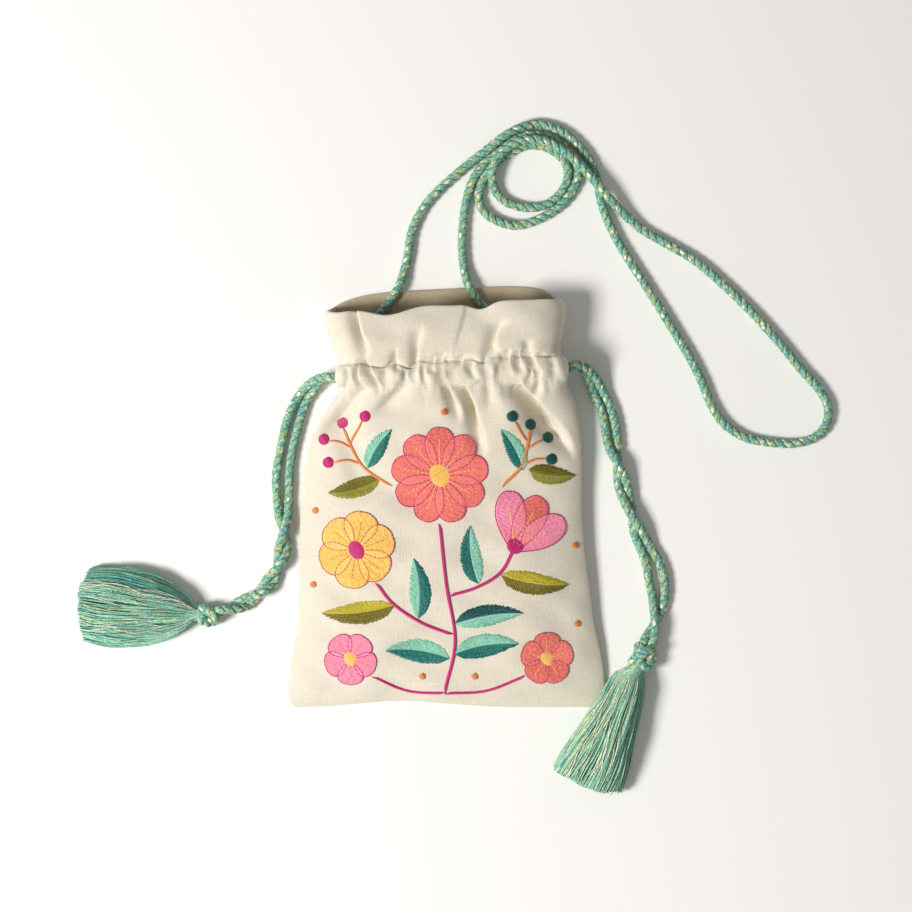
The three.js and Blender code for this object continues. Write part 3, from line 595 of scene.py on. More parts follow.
def thread_finish(name, roughness, sheen, grain, depth):
    material, tree, surface = finish(name, Sheen_Weight=sheen, Sheen_Roughness=0.4)
    dye = put(tree, "ShaderNodeAttribute", attribute_name="dye").outputs["Color"]
    gilt = put(tree, "ShaderNodeAttribute", attribute_name="gilt").outputs["Fac"]
    place = put(tree, "ShaderNodeTexCoord").outputs["Object"]
    fleck = noise(tree, place, grain, 2.0)
    tone = put(tree, "ShaderNodeMapRange", fleck, 0.3, 0.7, 1 - depth, 1 + depth).outputs[0]
    grey = put(tree, "ShaderNodeCombineColor", tone, tone, tone).outputs[0]
    tree.links.new(mix(tree, 1.0, dye, grey, "MULTIPLY"), surface.inputs["Base Color"])
    tree.links.new(calc(tree, "MULTIPLY", gilt, GOLD_METAL), surface.inputs["Metallic"])
    gloss = calc(tree, "MULTIPLY_ADD", gilt, GOLD_ROUGHNESS - roughness, roughness)
    tree.links.new(gloss, surface.inputs["Roughness"])
    own = put(tree, "ShaderNodeNewGeometry").outputs["Normal"]
    bulge = put(tree, "ShaderNodeAttribute", attribute_name="bulge").outputs["Vector"]
    shared = put(tree, "ShaderNodeVectorMath", own, bulge, operation="ADD").outputs[0]
    leaning = put(tree, "ShaderNodeVectorMath", shared, operation="NORMALIZE").outputs[0]
    bump = raise_grain(tree, surface, fleck, 0.5, THREAD_GRAIN)
    tree.links.new(leaning, bump.inputs["Normal"])
    return material


tassel_yarn = thread_finish("tassel_yarn", roughness=0.5, sheen=0.25, grain=1000, depth=0.30)
print("made", tassel_yarn.name, "with", len(tassel_yarn.node_tree.nodes), "nodes")

# %% [markdown]
# ## The tassels
# A tassel is a bundle of yarn that hangs from its knot under a tight binding, swells into a bell and ends
# in a cut edge. Each strand keeps its own place in the bundle from the head to the end, so a strand is a
# line at one angle and one depth in a bell whose half width and half height change along the length. The
# bell sags on the table, so its widest level lies low. The strands gather into locks with shaded furrows
# between them, wave a little, and end at slightly different lengths. Strands deep inside only show at the
# cut end, so they get few points. Gold threads dip in and out of the surface and keep off the outline.

# %% Shape of the bells
# start: from the knot's middle to the bell; shift: to the left of the heading; lift and bag_side: how far
# one side is raised to lie over the pouch's corner, and -1 where that side is on the right; mixed and
# paler_with_painted_light: how the dyes mix in a lock, and a factor on them that pales the yarn and also
# paints in light that the strands' shading takes away, most on the right tassel; rows: distance along the
# bell, half width, half height
BELLS = {
    "left": {
        "start": 6.0, "shift": 0.0, "lift": 0.0, "bag_side": 0, "mixed": 1.0, "paler_with_painted_light": (1.06, 1.04, 1.04),
        "rows": [(-3, 2.2, 2.2), (0, 2.9, 2.9), (2.4, 6.2, 4.6), (8, 10.8, 6.4), (13.6, 14.2, 7.3),
                 (22, 17.5, 8.0), (36, 19.2, 8.2), (50, 17.4, 6.4), (55, 16.0, 5.7)],
    },
    "right": {
        "start": 6.8, "shift": -1.6, "lift": 4.6, "bag_side": -1, "mixed": 1.7, "paler_with_painted_light": (1.42, 1.20, 1.14),
        "rows": [(-3, 2.4, 2.4), (0, 3.6, 3.4), (2.1, 6.0, 5.0), (8, 8.9, 6.6), (13.6, 10.3, 7.2),
                 (21, 11.7, 7.6), (36, 14.6, 8.0), (50, 17.2, 6.8), (60, 18.2, 5.8)],
    },
}
SAG = 0.45              # how far the widest level sinks, as a share of the half height
BELL_AIR = 0.3          # from the bell's lowest strands to the table
LOOSE_AFTER = 14        # from here on the strands sag and swing in full
SHIFT_FROM, SHIFT_LENGTH = -1, 4         # where the bell starts to shift, and over what length
# the raised side: where it starts, as a share of its width, and how wide and how long the rise is
LIFT_FROM, LIFT_WIDTH, LIFT_LENGTH = 0.1, 12, 19


def smooth(value):
    f = np.clip(value, 0, 1)
    return f * f * (3 - 2 * f)


def monotone(at, knots, values):
    """Smooth values between the rows of a table, which never pass the rows on either side."""
    knots, values = np.asarray(knots, float), np.asarray(values, float)
    gaps = np.diff(knots)[:, None]
    slopes = np.diff(values, axis=0) / gaps
    tilt = np.vstack([slopes[:1], np.zeros_like(slopes[1:]), slopes[-1:]])
    same_way = slopes[:-1] * slopes[1:] > 0
    near, far = 2 * gaps[1:] + gaps[:-1], gaps[1:] + 2 * gaps[:-1]
    safe = np.where(same_way, slopes[:-1], 1), np.where(same_way, slopes[1:], 1)
    tilt[1:-1] = np.where(same_way, (near + far) / (near / safe[0] + far / safe[1]), 0)
    i = np.clip(np.searchsorted(knots, at, side="right") - 1, 0, len(knots) - 2)
    f = ((at - knots[i]) / gaps[i, 0])[:, None]
    return ((1 + 2 * f) * (1 - f) ** 2 * values[i] + f * (1 - f) ** 2 * gaps[i] * tilt[i]
            + f**2 * (3 - 2 * f) * values[i + 1] + f**2 * (f - 1) * gaps[i] * tilt[i + 1])


def in_bell(side, along, angle, depth):
    """Where a strand at that angle and share of the bell's depth is, at each distance along it."""
    bell, head = BELLS[side], KNOTS[side][2]
    rows = np.array(bell["rows"], float)
    middles = np.maximum(rows[:, 2] + BELL_AIR, np.where(rows[:, 0] <= 0, head, 0))
    wide, high, middle = monotone(np.clip(along, rows[0, 0], rows[-1, 0]), rows[:, 0],
                                  np.column_stack([rows[:, 1:], middles])).T
    across = depth * wide * np.cos(angle) + bell["shift"] * smooth((along - SHIFT_FROM) / SHIFT_LENGTH)
    to_bag = smooth(across * bell["bag_side"] / LIFT_WIDTH - LIFT_FROM)
    raised = bell["lift"] * to_bag * smooth(along / LIFT_LENGTH)
    sunk = SAG * high * smooth(along / LOOSE_AFTER) * (1 - raised / max(bell["lift"], 1))
    upward = np.sin(angle)
    return across, middle + raised - sunk + depth * (high + np.sign(upward) * sunk) * upward - head


# %% Kinds and colours of the strands
# how many; least and most share of the bell's section that lies inside the strand; points; swing
STRANDS = {
    "outer": {"count": 1600, "inside": (0.54, 1.0), "points": 16, "swing": 0.45},
    "inner": {"count": 900, "inside": (0.0, 0.50), "points": 6, "swing": 0.45},
    "gold": {"count": 11, "inside": (1.0, 1.0), "points": 30, "swing": 1.3},
}
YARN_HALF, GOLD_THREAD_HALF, BINDING_HALF = 0.28 * MM, 0.15 * MM, 0.36 * MM
YARN_DYES = [paint(*c) for c in ((156, 206, 178), (136, 196, 170), (112, 182, 164), (84, 158, 150),
                                 (166, 200, 156), (146, 202, 180), (122, 190, 172))]
# painted glint: the gold thread is painted nearly white and barely metal, so it looks lit even in shade
GOLD_DYE_AND_GLINT, BINDING_DYE = paint(252, 238, 212), YARN_DYES[5]

# %% Draw one strand
LOCKS = 13
FURROW = 0.09           # how much lower the bundle is between two locks
GATHER = 0.26           # how far a strand moves towards the middle of its lock
LOCK_SWAY, SWAY_PHASE = 0.14, 4.2        # how far a lock sways, and through what phase, in radians
STRAND_STRAY = 0.10     # usual angle by which a strand leaves its lock
WAVE_ACROSS, WAVE_UP = (5, 9), (4, 7)    # shortest and longest waves of a strand
STRAND_TONES, STRAND_SIZES = (0.94, 1.06), (0.8, 1.1)
GOLD_SPAN = (0.15, 0.85)                 # the part of the upper half turn that gold threads keep to
GOLD_DIP, GOLD_PHASE = 0.05, 9           # share of the depth that a gold thread dips, and its phase
SKIN = 0.98             # depth of the outermost strands
ROUND_END, RAGGED_END = 0.07, 0.018     # how much shorter the strands at the sides are, and by chance
BULGE = 0.7             # how far a strand is shaded as a part of the round bundle
STRAND_AIR = 0.45       # lowest middle of a strand over the table
PALEST = 0.9


def strand(side, dice, kind, locks):
    """One strand's line, its dye, its half thickness and its way out of the bundle."""
    bell, habit = BELLS[side], STRANDS[kind]
    longest = bell["rows"][-1][0]
    angle = dice.uniform(*GOLD_SPAN) * np.pi if kind == "gold" else dice.uniform(0, 2 * np.pi)
    lock = int(round(angle * LOCKS / (2 * np.pi))) % LOCKS
    from_lock = (lock * 2 * np.pi / LOCKS - angle + np.pi) % (2 * np.pi) - np.pi
    depth = SKIN * math.sqrt(dice.uniform(*habit["inside"]))
    reach = 1 - locks["short"][lock] - ROUND_END * math.cos(angle) ** 2 - abs(dice.normal(0, RAGGED_END))
    along = np.linspace(bell["rows"][0][0], longest * reach, habit["points"])
    grown = np.clip(along / longest, 0, 1)
    furrow = 1 - FURROW * (from_lock * LOCKS / np.pi) ** 2 * smooth(grown / 0.3)
    if kind == "gold":
        furrow = furrow + GOLD_DIP * np.sin(GOLD_PHASE * grown + dice.uniform(0, 6))
    sway = LOCK_SWAY * np.sin(locks["wave"][lock] + SWAY_PHASE * grown) * grown
    drawn = angle + from_lock * GATHER * grown + sway
    across, up = in_bell(side, along, drawn + dice.normal(0, STRAND_STRAY) * grown, depth * furrow)
    phases = dice.uniform(0, 2 * np.pi, 2)
    swing = habit["swing"] * smooth(along / LOOSE_AFTER)
    across += swing * np.sin(along / dice.uniform(*WAVE_ACROSS) + phases[0])
    up += 0.5 * swing * np.sin(along / dice.uniform(*WAVE_UP) + phases[1])
    up = np.maximum(up, STRAND_AIR - KNOTS[side][2])
    line = along_heading(side, along + bell["start"], across, up)
    round_share = 0.0 if kind == "inner" else BULGE
    out = along_heading(side, 0, round_share * math.cos(angle), 2 * round_share * math.sin(angle))
    out = (out - along_heading(side, 0, 0, 0)) / MM
    if kind == "gold":
        return line, GOLD_DYE_AND_GLINT, GOLD_THREAD_HALF, out
    chosen = int(locks["dye"][lock] + dice.normal(0, bell["mixed"])) % len(YARN_DYES)
    # the bell's factor pales the yarn and also paints in light, most on the right tassel
    tone = np.array(YARN_DYES[chosen][:3]) * bell["paler_with_painted_light"] * locks["tone"][lock] * dice.uniform(*STRAND_TONES)
    return line, (*np.minimum(tone, PALEST), 1.0), YARN_HALF * dice.uniform(*STRAND_SIZES), out


# %% Bind the strands into a tassel
BINDING_TURNS, BINDING_PITCH = 6.5, 0.56
BINDING_BACK, BINDING_RADIUS, BINDING_TAPER = 2.8, 3.1, 0.06


def binding_turns(side):
    """The thread wound tightly round the neck of a tassel."""
    a = np.linspace(0, 2 * np.pi * BINDING_TURNS, 130)
    along = BELLS[side]["start"] - BINDING_BACK + BINDING_PITCH * a / (2 * np.pi)
    ring = BINDING_RADIUS - BINDING_TAPER * (along - along[0]) ** 2
    return along_heading(side, along, ring * np.cos(a), ring * np.sin(a))


def tassel_piece(side, seed):
    dice = np.random.default_rng(seed)
    locks = {"short": dice.uniform(0, 0.03, LOCKS), "wave": dice.uniform(0, 2 * np.pi, LOCKS),
             "tone": dice.uniform(0.94, 1.05, LOCKS), "dye": dice.uniform(0, len(YARN_DYES), LOCKS)}
    kinds = [kind for kind, habit in STRANDS.items() for _ in range(habit["count"])]
    made = [strand(side, dice, kind, locks) for kind in kinds]
    made.append((binding_turns(side), BINDING_DYE, BINDING_HALF, (0, 0, 0)))
    lines, dyes, thick, bulge = zip(*made)
    gilt = [float(kind == "gold") for kind in kinds] + [0.0]
    return thread_piece("tassel_" + side + "_strands", lines, dyes, thick, gilt, bulge, 3, tassel_yarn)


# %% Hang the tassels on the drawcords
for side, seed in (("left", 3), ("right", 8)):
    tassel = tassel_piece(side, seed)
    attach(tassel, "root")
    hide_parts("tassel_" + side)
    rope, knot, line, long = drawcords[side]
    print("tassel", side, triangles_of(tassel), "triangles")

# %% [markdown]
# ## The finish of the linen
# The cloth is plain-woven linen: every warp thread goes over one weft thread and under the next, and the
# yarn has thick places called slubs. The panels carry a UV map in metres that follows the cloth, so the
# weave runs with the folds. The height of the weave drives the bump, the slubs change its tone, and the
# gaps between threads get a little painted shade.

# %% Finish of the linen
WEAVE_PITCH = 0.64 * MM
WEAVE_DEPTH = 0.20 * MM
SLUB_ALONG, SLUB_ACROSS = 150, 1900     # slubs in a metre, along and across their thread


def linen_finish(name, light, dark):
    material, tree, surface = finish(name, Roughness=0.88, Sheen_Weight=0.3, Sheen_Roughness=0.5)
    place = put(tree, "ShaderNodeTexCoord").outputs["UV"]
    warp_place, weft_place, _ = put(tree, "ShaderNodeSeparateXYZ", place).outputs
    drift = calc(tree, "MULTIPLY", noise(tree, place, 160, 3.0), 9.0)
    half_turn = math.pi / WEAVE_PITCH
    warp = calc(tree, "SINE", calc(tree, "MULTIPLY_ADD", warp_place, half_turn, drift))
    weft = calc(tree, "SINE", calc(tree, "MULTIPLY_ADD", weft_place, half_turn, drift))

    def thread_on_top(own, other, way):
        """How high the threads of one way stand, which go over and under the other way's in turn."""
        crossing = calc(tree, "MULTIPLY", other, calc(tree, "SIGN", own))
        over = calc(tree, "MULTIPLY_ADD", crossing, way / 2, 0.5)
        return calc(tree, "MULTIPLY", calc(tree, "ABSOLUTE", own), over)

    def slub(u_scale, v_scale):
        stretched = put(tree, "ShaderNodeMapping", place, None, None, (u_scale, v_scale, 1))
        return noise(tree, stretched.outputs[0], 1.0, 2.0)

    weave = calc(tree, "MAXIMUM", thread_on_top(warp, weft, 1), thread_on_top(weft, warp, -1))
    slubs = calc(tree, "ADD", slub(SLUB_ACROSS, SLUB_ALONG), slub(SLUB_ALONG, SLUB_ACROSS))
    cloud = noise(tree, place, 28, 3.0)
    tone = calc(tree, "MULTIPLY_ADD", slubs, 0.55, calc(tree, "MULTIPLY_ADD", cloud, 0.4, -0.22))
    # painted shade: the low places of the weave, between the threads, darken the colour; slubs and clouds
    # are the yarn's own tone
    gaps = calc(tree, "MULTIPLY_ADD", weave, 0.16, calc(tree, "ADD", tone, 0.10))
    tree.links.new(mix(tree, soft_step(tree, gaps, 0.1, 1.0), dark, light), surface.inputs["Base Color"])
    height = calc(tree, "MULTIPLY_ADD", slubs, 0.5, calc(tree, "MULTIPLY", weave, 0.5))
    raise_grain(tree, surface, height, 0.75, WEAVE_DEPTH)
    return material


linen = linen_finish("linen", paint(231, 223, 206), paint(200, 190, 169))
# painted shade: the inside of the pouch and the casing band get a darker, browner copy of the linen for the
# shade inside
linen_inner = linen_finish("linen_inner", paint(204, 189, 158), paint(170, 153, 122))
print("made", linen.name, "and", linen_inner.name, "with", len(linen.node_tree.nodes), "nodes each")

# %% [markdown]
# ## The form of the cloth
# The pouch is two panels sewn together at the sides and along the bottom. Its form follows a short table
# of sections from the bottom seam to the rim. Each section gives the outline to the left and right, the
# height of the front's crown and of the side seam, and two exponents that make the cross-section flat in
# the body and round at the neck.

# %% Table of sections
# in millimetres; square and round are the exponents, slot is the gap that the drawcords leave by, and rise
# is how much higher the back's rim is than the front's
SECTION_COLUMNS = ("y", "left", "right", "skew", "crown", "seam", "square", "round", "slot", "rise")
SECTIONS = np.array([
    (-97.0, -70.0, 71.0, 0.0, 3.2, 1.6, 6.0, 1.0, 0, 0),
    (-95.0, -71.8, 72.4, 0.0, 4.9, 1.6, 4.5, 1.0, 0, 0),
    (-90.5, -72.8, 72.8, 0.0, 7.3, 1.8, 3.4, 1.0, 0, 0),
    (-83.0, -72.5, 72.6, 0.2, 9.8, 2.3, 3.2, 1.0, 0, 0),
    (-72.0, -71.2, 71.0, 0.4, 12.4, 3.2, 3.2, 1.0, 0, 0),
    (-58.0, -68.4, 67.9, 0.6, 14.4, 4.2, 3.3, 1.0, 0, 0),
    (-40.0, -67.9, 65.6, 0.8, 15.8, 5.0, 3.4, 1.0, 0, 0),
    (-20.0, -67.6, 63.2, 1.0, 16.6, 5.8, 3.4, 1.0, 0, 0),
    (0.0, -66.6, 62.2, 1.1, 17.4, 6.6, 3.4, 1.0, 0, 0),
    (17.0, -64.6, 62.3, 1.2, 18.6, 7.6, 3.5, 1.1, 0, 0),
    (32.0, -59.9, 61.0, 1.2, 20.4, 9.0, 3.8, 1.25, 0, 0),
    (42.5, -53.8, 58.8, 1.3, 22.2, 10.8, 4.8, 1.5, 0, 0),
    (51.4, -49.2, 55.2, 1.4, 24.4, 12.4, 7.0, 1.9, 3.4, 0),
    (52.7, -50.0, 55.4, 1.5, 25.4, 12.8, 8.0, 2.0, 8.6, 0),
    (57.0, -50.8, 55.8, 1.8, 26.4, 13.0, 8.0, 2.0, 11.0, 0),
    (61.3, -50.2, 54.8, 2.0, 25.6, 12.9, 8.0, 2.0, 8.8, 0),
    (62.6, -48.6, 52.4, 2.2, 24.8, 12.7, 8.0, 2.0, 5.0, 0),
    (66.0, -50.2, 52.2, 2.3, 25.4, 12.6, 7.5, 2.0, 0, 0.8),
    (73.0, -53.0, 53.4, 2.5, 25.8, 12.3, 7.0, 2.0, 0, 3.0),
    (81.0, -54.8, 54.6, 2.7, 25.0, 11.8, 6.5, 2.0, 0, 5.8),
    (88.3, -55.7, 55.0, 2.8, 23.6, 11.4, 6.0, 2.0, 0, 7.7),
])
BOTTOM, RIM = SECTIONS[0, 0], SECTIONS[-1, 0]
print(len(SECTIONS), "sections from", BOTTOM, "to", RIM, "mm")

# %% The form from the table
SEAM_HALF_GAP = 0.06    # from the seam's line to either panel in the neck
SEAM_EDGE = 0.5         # the same in the body, where the seam is turned in
BACK_FLAT = 1.6         # how soon the back lies flat on its way in from the seam
BACK_RIM_SQUARE = 5     # how straight the back's rim runs between the seams
PLUMP = 1.25            # least roundness of the body towards its seams
RIM_DIPS = ((-26.5, 11.0, 4.0), (15.9, 5.5, 2.9), (-50.0, 5.0, 1.3), (3.0, 10.0, 0.8))     # at, width, depth
RIM_DIP_FROM = 66
ARCH_AT, ARCH_WIDTH, ARCH_RISE, ARCH_FADE = -25, 32, 3.2, 20     # the bottom seam bows up here
CURL_FROM, RIM_CURL = 82.5, 2.4     # the ruffle's right corner curls in towards the mouth


def hump(x, at, width):
    return np.exp(-(((x - at) / width) ** 2))


def section(y):
    return dict(zip(SECTION_COLUMNS, monotone(y, SECTIONS[:, 0], SECTIONS).T[:, :, None]))


def plain_cloth(u, y, front):
    """Rows of points of the cloth before it is creased, for places u across, from -1 to 1, and heights y."""
    s = section(y)
    t = (0.4 * u + 0.6 * np.sin(u * np.pi / 2)) * np.ones_like(s["y"])
    shape = np.maximum(0, 1 - np.abs(t) ** s["square"]) ** (1 / np.maximum(s["round"], PLUMP))
    edge = SEAM_HALF_GAP + (SEAM_EDGE - SEAM_HALF_GAP) * np.clip(2 - s["round"], 0, 1)
    edge = np.maximum(edge, s["slot"] / 2)
    x = (s["left"] + s["right"]) / 2 + (s["right"] - s["left"]) / 2 * t
    curl = np.clip((s["y"] - CURL_FROM) / (RIM - CURL_FROM), 0, 1) ** 2
    x = x - RIM_CURL * curl * smooth((t - 0.7) / 0.3)
    arch = ARCH_RISE * hump(x, ARCH_AT, ARCH_WIDTH) * smooth(1 - (s["y"] - BOTTOM) / ARCH_FADE)
    up = s["y"] + s["skew"] * t + arch * (1 - t * t)
    if front:
        share = smooth((s["y"] - RIM_DIP_FROM) / (RIM - RIM_DIP_FROM))
        up = up - sum(depth * hump(x, at, width) for at, width, depth in RIM_DIPS) * share
        z = s["seam"] + edge + shape * (s["crown"] - s["seam"] - edge)
    else:
        up = up + s["rise"] * (1 - np.abs(t) ** BACK_RIM_SQUARE)
        z = s["seam"] - edge - np.minimum(1, BACK_FLAT * shape) * (s["seam"] - edge)
    return np.stack([x, up, z], axis=-1), t, s["seam"]


# %% [markdown]
# ## Creases, lobes and puckers
# The drawcords pull the neck together, so creases cross the casing and long folds run down from it. On the
# real pouch nearly all of them lean the same way: the cloth slopes down from the left and rises steeply at
# the right, and the right side may lap over the slope. Each crease is a line from its top down. Between
# creases the ruffle hangs over the upper stitches in round lobes, and the stitches pinch the cloth into
# small puckers, which come from a loop with a fixed seed.

# %% Where the creases run
# points from the top down; width of the slope at the top and at the end; width of the lip; depth; lap
CREASES = (
    ([(-40.6, 95), (-40.1, 87), (-39.0, 80), (-37.6, 72.5), (-36.5, 64.5), (-37.2, 61)],
     5.4, 3.4, 0.5, 5.2, 1.8),
    ([(-37.0, 64), (-39.1, 60), (-39.5, 54), (-37.8, 50), (-36.0, 46)], 1.8, 1.8, 0.5, 3.0, 1.6),
    ([(-36.6, 66), (-34.2, 60.2), (-33.4, 57), (-32.0, 54), (-31.0, 51), (-30.5, 45)],
     2.2, 2.0, 0.5, 2.8, 1.5),
    ([(-27.8, 60), (-27.2, 55), (-28.0, 47)], 1.8, 1.8, 1.2, 1.3, 0.0),
    ([(-22.4, 68), (-22.4, 62), (-22.2, 56)], 1.8, 1.6, 0.6, 2.2, 1.3),
    ([(-11.8, 79), (-12.5, 70), (-12.8, 63), (-13.4, 59), (-14.4, 55.5), (-14.2, 48)],
     4.2, 2.0, 0.6, 3.4, 1.7),
    ([(-4.8, 65), (-5.4, 61), (-6.6, 55)], 3.2, 2.6, 0.7, 2.4, 1.3),
    ([(-0.2, 67), (-0.8, 60.5), (-0.6, 55.7), (0.7, 51.7), (2.4, 47.5), (4.4, 41), (5.8, 32)],
     2.4, 4.2, 0.6, 5.0, 1.7),
    ([(8.0, 66), (7.6, 60), (5.2, 56), (6.0, 52.4), (9.0, 50), (11.2, 46.4), (13.3, 41), (14.8, 33),
      (15.8, 25), (16.6, 15)], 2.4, 5.6, 0.6, 6.6, 1.8),
    ([(9.8, 96), (9.4, 85), (8.2, 80), (5.6, 71), (3.6, 62.5)], 1.3, 1.3, 5.5, 0.9, 0.0),
    ([(25.0, 82), (23.4, 75.4), (22.3, 71.6), (20.8, 66.5), (18.8, 61)], 5.2, 3.2, 0.8, 3.6, 1.4),
    ([(18.4, 61), (19.0, 55), (19.4, 46), (20.0, 36)], 2.4, 2.4, 1.6, 1.8, 0.0),
    ([(24.4, 62), (24.0, 57), (24.8, 48)], 1.8, 1.8, 1.2, 1.6, 0.0),
    ([(-45.4, 60), (-44.6, 56), (-45.4, 49)], 1.6, 1.8, 0.9, 1.5, 0.6),
    ([(-17.6, 60), (-18.4, 56), (-18.0, 48)], 1.5, 1.6, 0.9, 1.6, 0.6),
    ([(-9.2, 61), (-9.8, 57), (-9.4, 49)], 1.5, 1.6, 0.8, 1.7, 0.7),
    ([(12.8, 62), (12.2, 57.5), (13.6, 52)], 1.6, 1.6, 0.8, 1.7, 0.7),
    ([(38.0, 60), (38.6, 56), (38.2, 49)], 1.4, 1.5, 0.9, 1.5, 0.6),
    ([(28.4, 68), (28.9, 62), (30.2, 56), (33.2, 52.5), (36.1, 48.8), (40.1, 45.1), (46.3, 38.1),
      (52.7, 29.2), (58.0, 16)], 2.2, 12.0, 0.7, 10.5, 2.0),
    ([(33.4, 68), (33.8, 61), (34.8, 55)], 1.8, 1.6, 0.6, 1.8, 1.2),
    ([(36.6, 74), (38.4, 64.5), (39.7, 62.3), (41.2, 59), (43.0, 56.3), (42.8, 53), (42.4, 47),
      (42.0, 40)], 2.8, 2.0, 0.6, 3.2, 1.6),
    ([(48.4, 63), (49.0, 58), (49.6, 51)], 2.0, 2.0, 1.2, 1.3, 0.0),
    ([(-36.0, 50.5), (-40.5, 46.3), (-46.0, 41), (-53.6, 33.8), (-61.0, 26.5)], 3.2, 4.6, 2.4, 4.8, 0.0),
    ([(-18.4, 54), (-20.5, 49), (-25.0, 44), (-33.0, 35)], 2.4, 3.2, 2.2, 3.2, 0.0),
    ([(-52.0, 46), (-46.0, 32), (-41.0, 14), (-36.0, -8)], 7.0, 7.0, 6.0, 3.2, 0.0),
)
BACK_CREASES = [([(x, 67), (1.06 * x, 52), (1.12 * x, 36)], 2.6, 2.6, 2.6, 1.4 if x % 2 else 1.1, 0.0)
                for x in range(-36, 43, 9)]
print(len(CREASES), "creases in the front and", len(BACK_CREASES), "in the back")

# %% How a crease draws the cloth
RUFFLE_FROM = 72        # creases that start between here and the rim begin softly
LAP_LENGTH = 3.0        # how far the lap reaches over from the lip
FADE_IN, FADE_OUT = 0.16, 0.38     # shares of its length over which a crease comes and goes
LAP_TO, LAP_FADE = 0.85, 0.3       # the same for where the lap ends


def creases(x, y, rows):
    """How far the creases draw the cloth in, and how far their right sides lap over to the left."""
    deep, lapped = np.zeros_like(x), np.zeros_like(x)
    for path, slope, spread, lip, depth, lap in rows:
        at, heights = np.array(path[::-1], float).T
        levels = [np.clip(y + step, heights[0], heights[-1]).ravel() for step in (-0.5, 0, 0.5)]
        below, middle, above = [monotone(level, heights, at[:, None]).reshape(x.shape) for level in levels]
        off = (x - middle) / np.sqrt(1 + (above - below) ** 2)
        down = np.clip((heights[-1] - y) / (heights[-1] - heights[0]), 0, 1)
        fade = smooth(down / FADE_IN) * smooth((1 - down) / FADE_OUT)
        left = slope + (spread - slope) * down
        rising = smooth(down / 0.5) if RUFFLE_FROM < heights[-1] < RIM else 1.0
        right = lip * (4 - 3 * rising + 2.5 * down**2)
        grown = 0.5 + 0.5 * smooth(down / 0.5)
        deep += depth * grown * fade * hump(off, 0, np.where(off < 0, left, right))
        edge = 2.0 * lip
        over = smooth(off / edge) * hump(np.maximum(off - edge, 0), 0, LAP_LENGTH)
        lapped += lap * rising * fade * smooth((LAP_TO - down) / LAP_FADE) * over
    return deep, lapped


# %% Lines of stitches, and how the upper one strays
LOWER_STITCHES, UPPER_STITCHES = (51.4, 1.4), (62.4, 2.2)     # height and skew of each line
LINES_MIDDLE, LINES_HALF = 2.5, 53     # across
STRAY = (     # place across, and how far the gathered upper line lies above a straight one there
    (-52, 0), (-44, 0.2), (-37, 1.0), (-29.4, -1.2), (-22.6, 0.6), (-17, -1.8), (-11.5, 0.9), (-4, 0.5),
    (4, 0.4), (11, 0.6), (16, -0.9), (21, 1.2), (30, 1.5), (39, 1.4), (46, 1.0), (56, 2.4),
)


def line_height(x, line):
    height, skew = line
    return height + skew * (x - LINES_MIDDLE) / LINES_HALF


def line_stray(x):
    at, stray = np.array(STRAY, float).T
    return monotone(np.clip(x, at[0], at[-1]).ravel(), at, stray[:, None]).reshape(np.shape(x))


# %% Lobes of the ruffle over the upper stitches
# place across, width and drop
LOBES = ((-45.0, 3.6, 0.2), (-29.4, 5.4, 2.6), (-17.2, 4.0, 2.8), (-8.0, 3.0, 0.6), (3.6, 3.0, 0.8),
         (15.8, 3.0, 2.2), (26.0, 3.0, 0.4), (34.0, 3.0, 0.6), (47.6, 4.6, 2.0))
LOBE_SWELL = 0.35       # how far a lobe stands out, as a share of its drop


def lobe_drop(x):
    return sum(drop * hump(x, at, width) for at, width, drop in LOBES)


# %% Puckers along the stitches
PUCKERS_FROM, PUCKERS_TO, PUCKER_PITCH, PUCKER_STRAY = -50, 56, 4.2, 2.0
PUCKER_UP, PUCKER_DOWN = (2, 6), (3, 10)     # least and most reach above and below the stitches
PUCKER_LEAN = 2.6       # how far to either side its ends may lie
PUCKER_WIDTH, PUCKER_DEPTH = (0.7, 1.6), (0.15, 0.75)
pucker_dice = np.random.default_rng(21)


def pucker_rows():
    rows = []
    for line in (LOWER_STITCHES, UPPER_STITCHES):
        for x in np.arange(PUCKERS_FROM, PUCKERS_TO, PUCKER_PITCH):
            x = x + pucker_dice.uniform(-PUCKER_STRAY, PUCKER_STRAY)
            y = line_height(x, line)
            up, down = pucker_dice.uniform(*PUCKER_UP), pucker_dice.uniform(*PUCKER_DOWN)
            lean = pucker_dice.uniform(-PUCKER_LEAN, PUCKER_LEAN)
            width, depth = pucker_dice.uniform(*PUCKER_WIDTH), pucker_dice.uniform(*PUCKER_DEPTH)
            rows.append((x, y, up, down, lean, width, depth))
    return rows


def puckers(x, y, rows):
    total = np.zeros_like(x)
    for at, height, up, down, lean, width, depth in rows:
        away = (y - height) / np.where(y > height, up, down)
        fade = np.exp(-1.6 * away**2)
        total += depth * fade * hump(x, at + lean * away, width * (1 + 0.5 * np.abs(away)))
    return total


# %% Soft waves of slack cloth
SLACK, SLACK_WAVES, SLACK_SEED = 0.6, 9, 5
SLACK_LENGTHS = (16, 46)     # shortest and longest wave


def slack(x, y):
    dice = np.random.default_rng(SLACK_SEED)
    total = np.zeros_like(x)
    for _ in range(SLACK_WAVES):
        bearing = dice.uniform(0, np.pi)
        wave = dice.uniform(*SLACK_LENGTHS)
        phase = dice.uniform(0, 2 * np.pi)
        total += np.sin((x * math.cos(bearing) + y * math.sin(bearing)) * 2 * np.pi / wave + phase)
    return SLACK * total / math.sqrt(SLACK_WAVES)


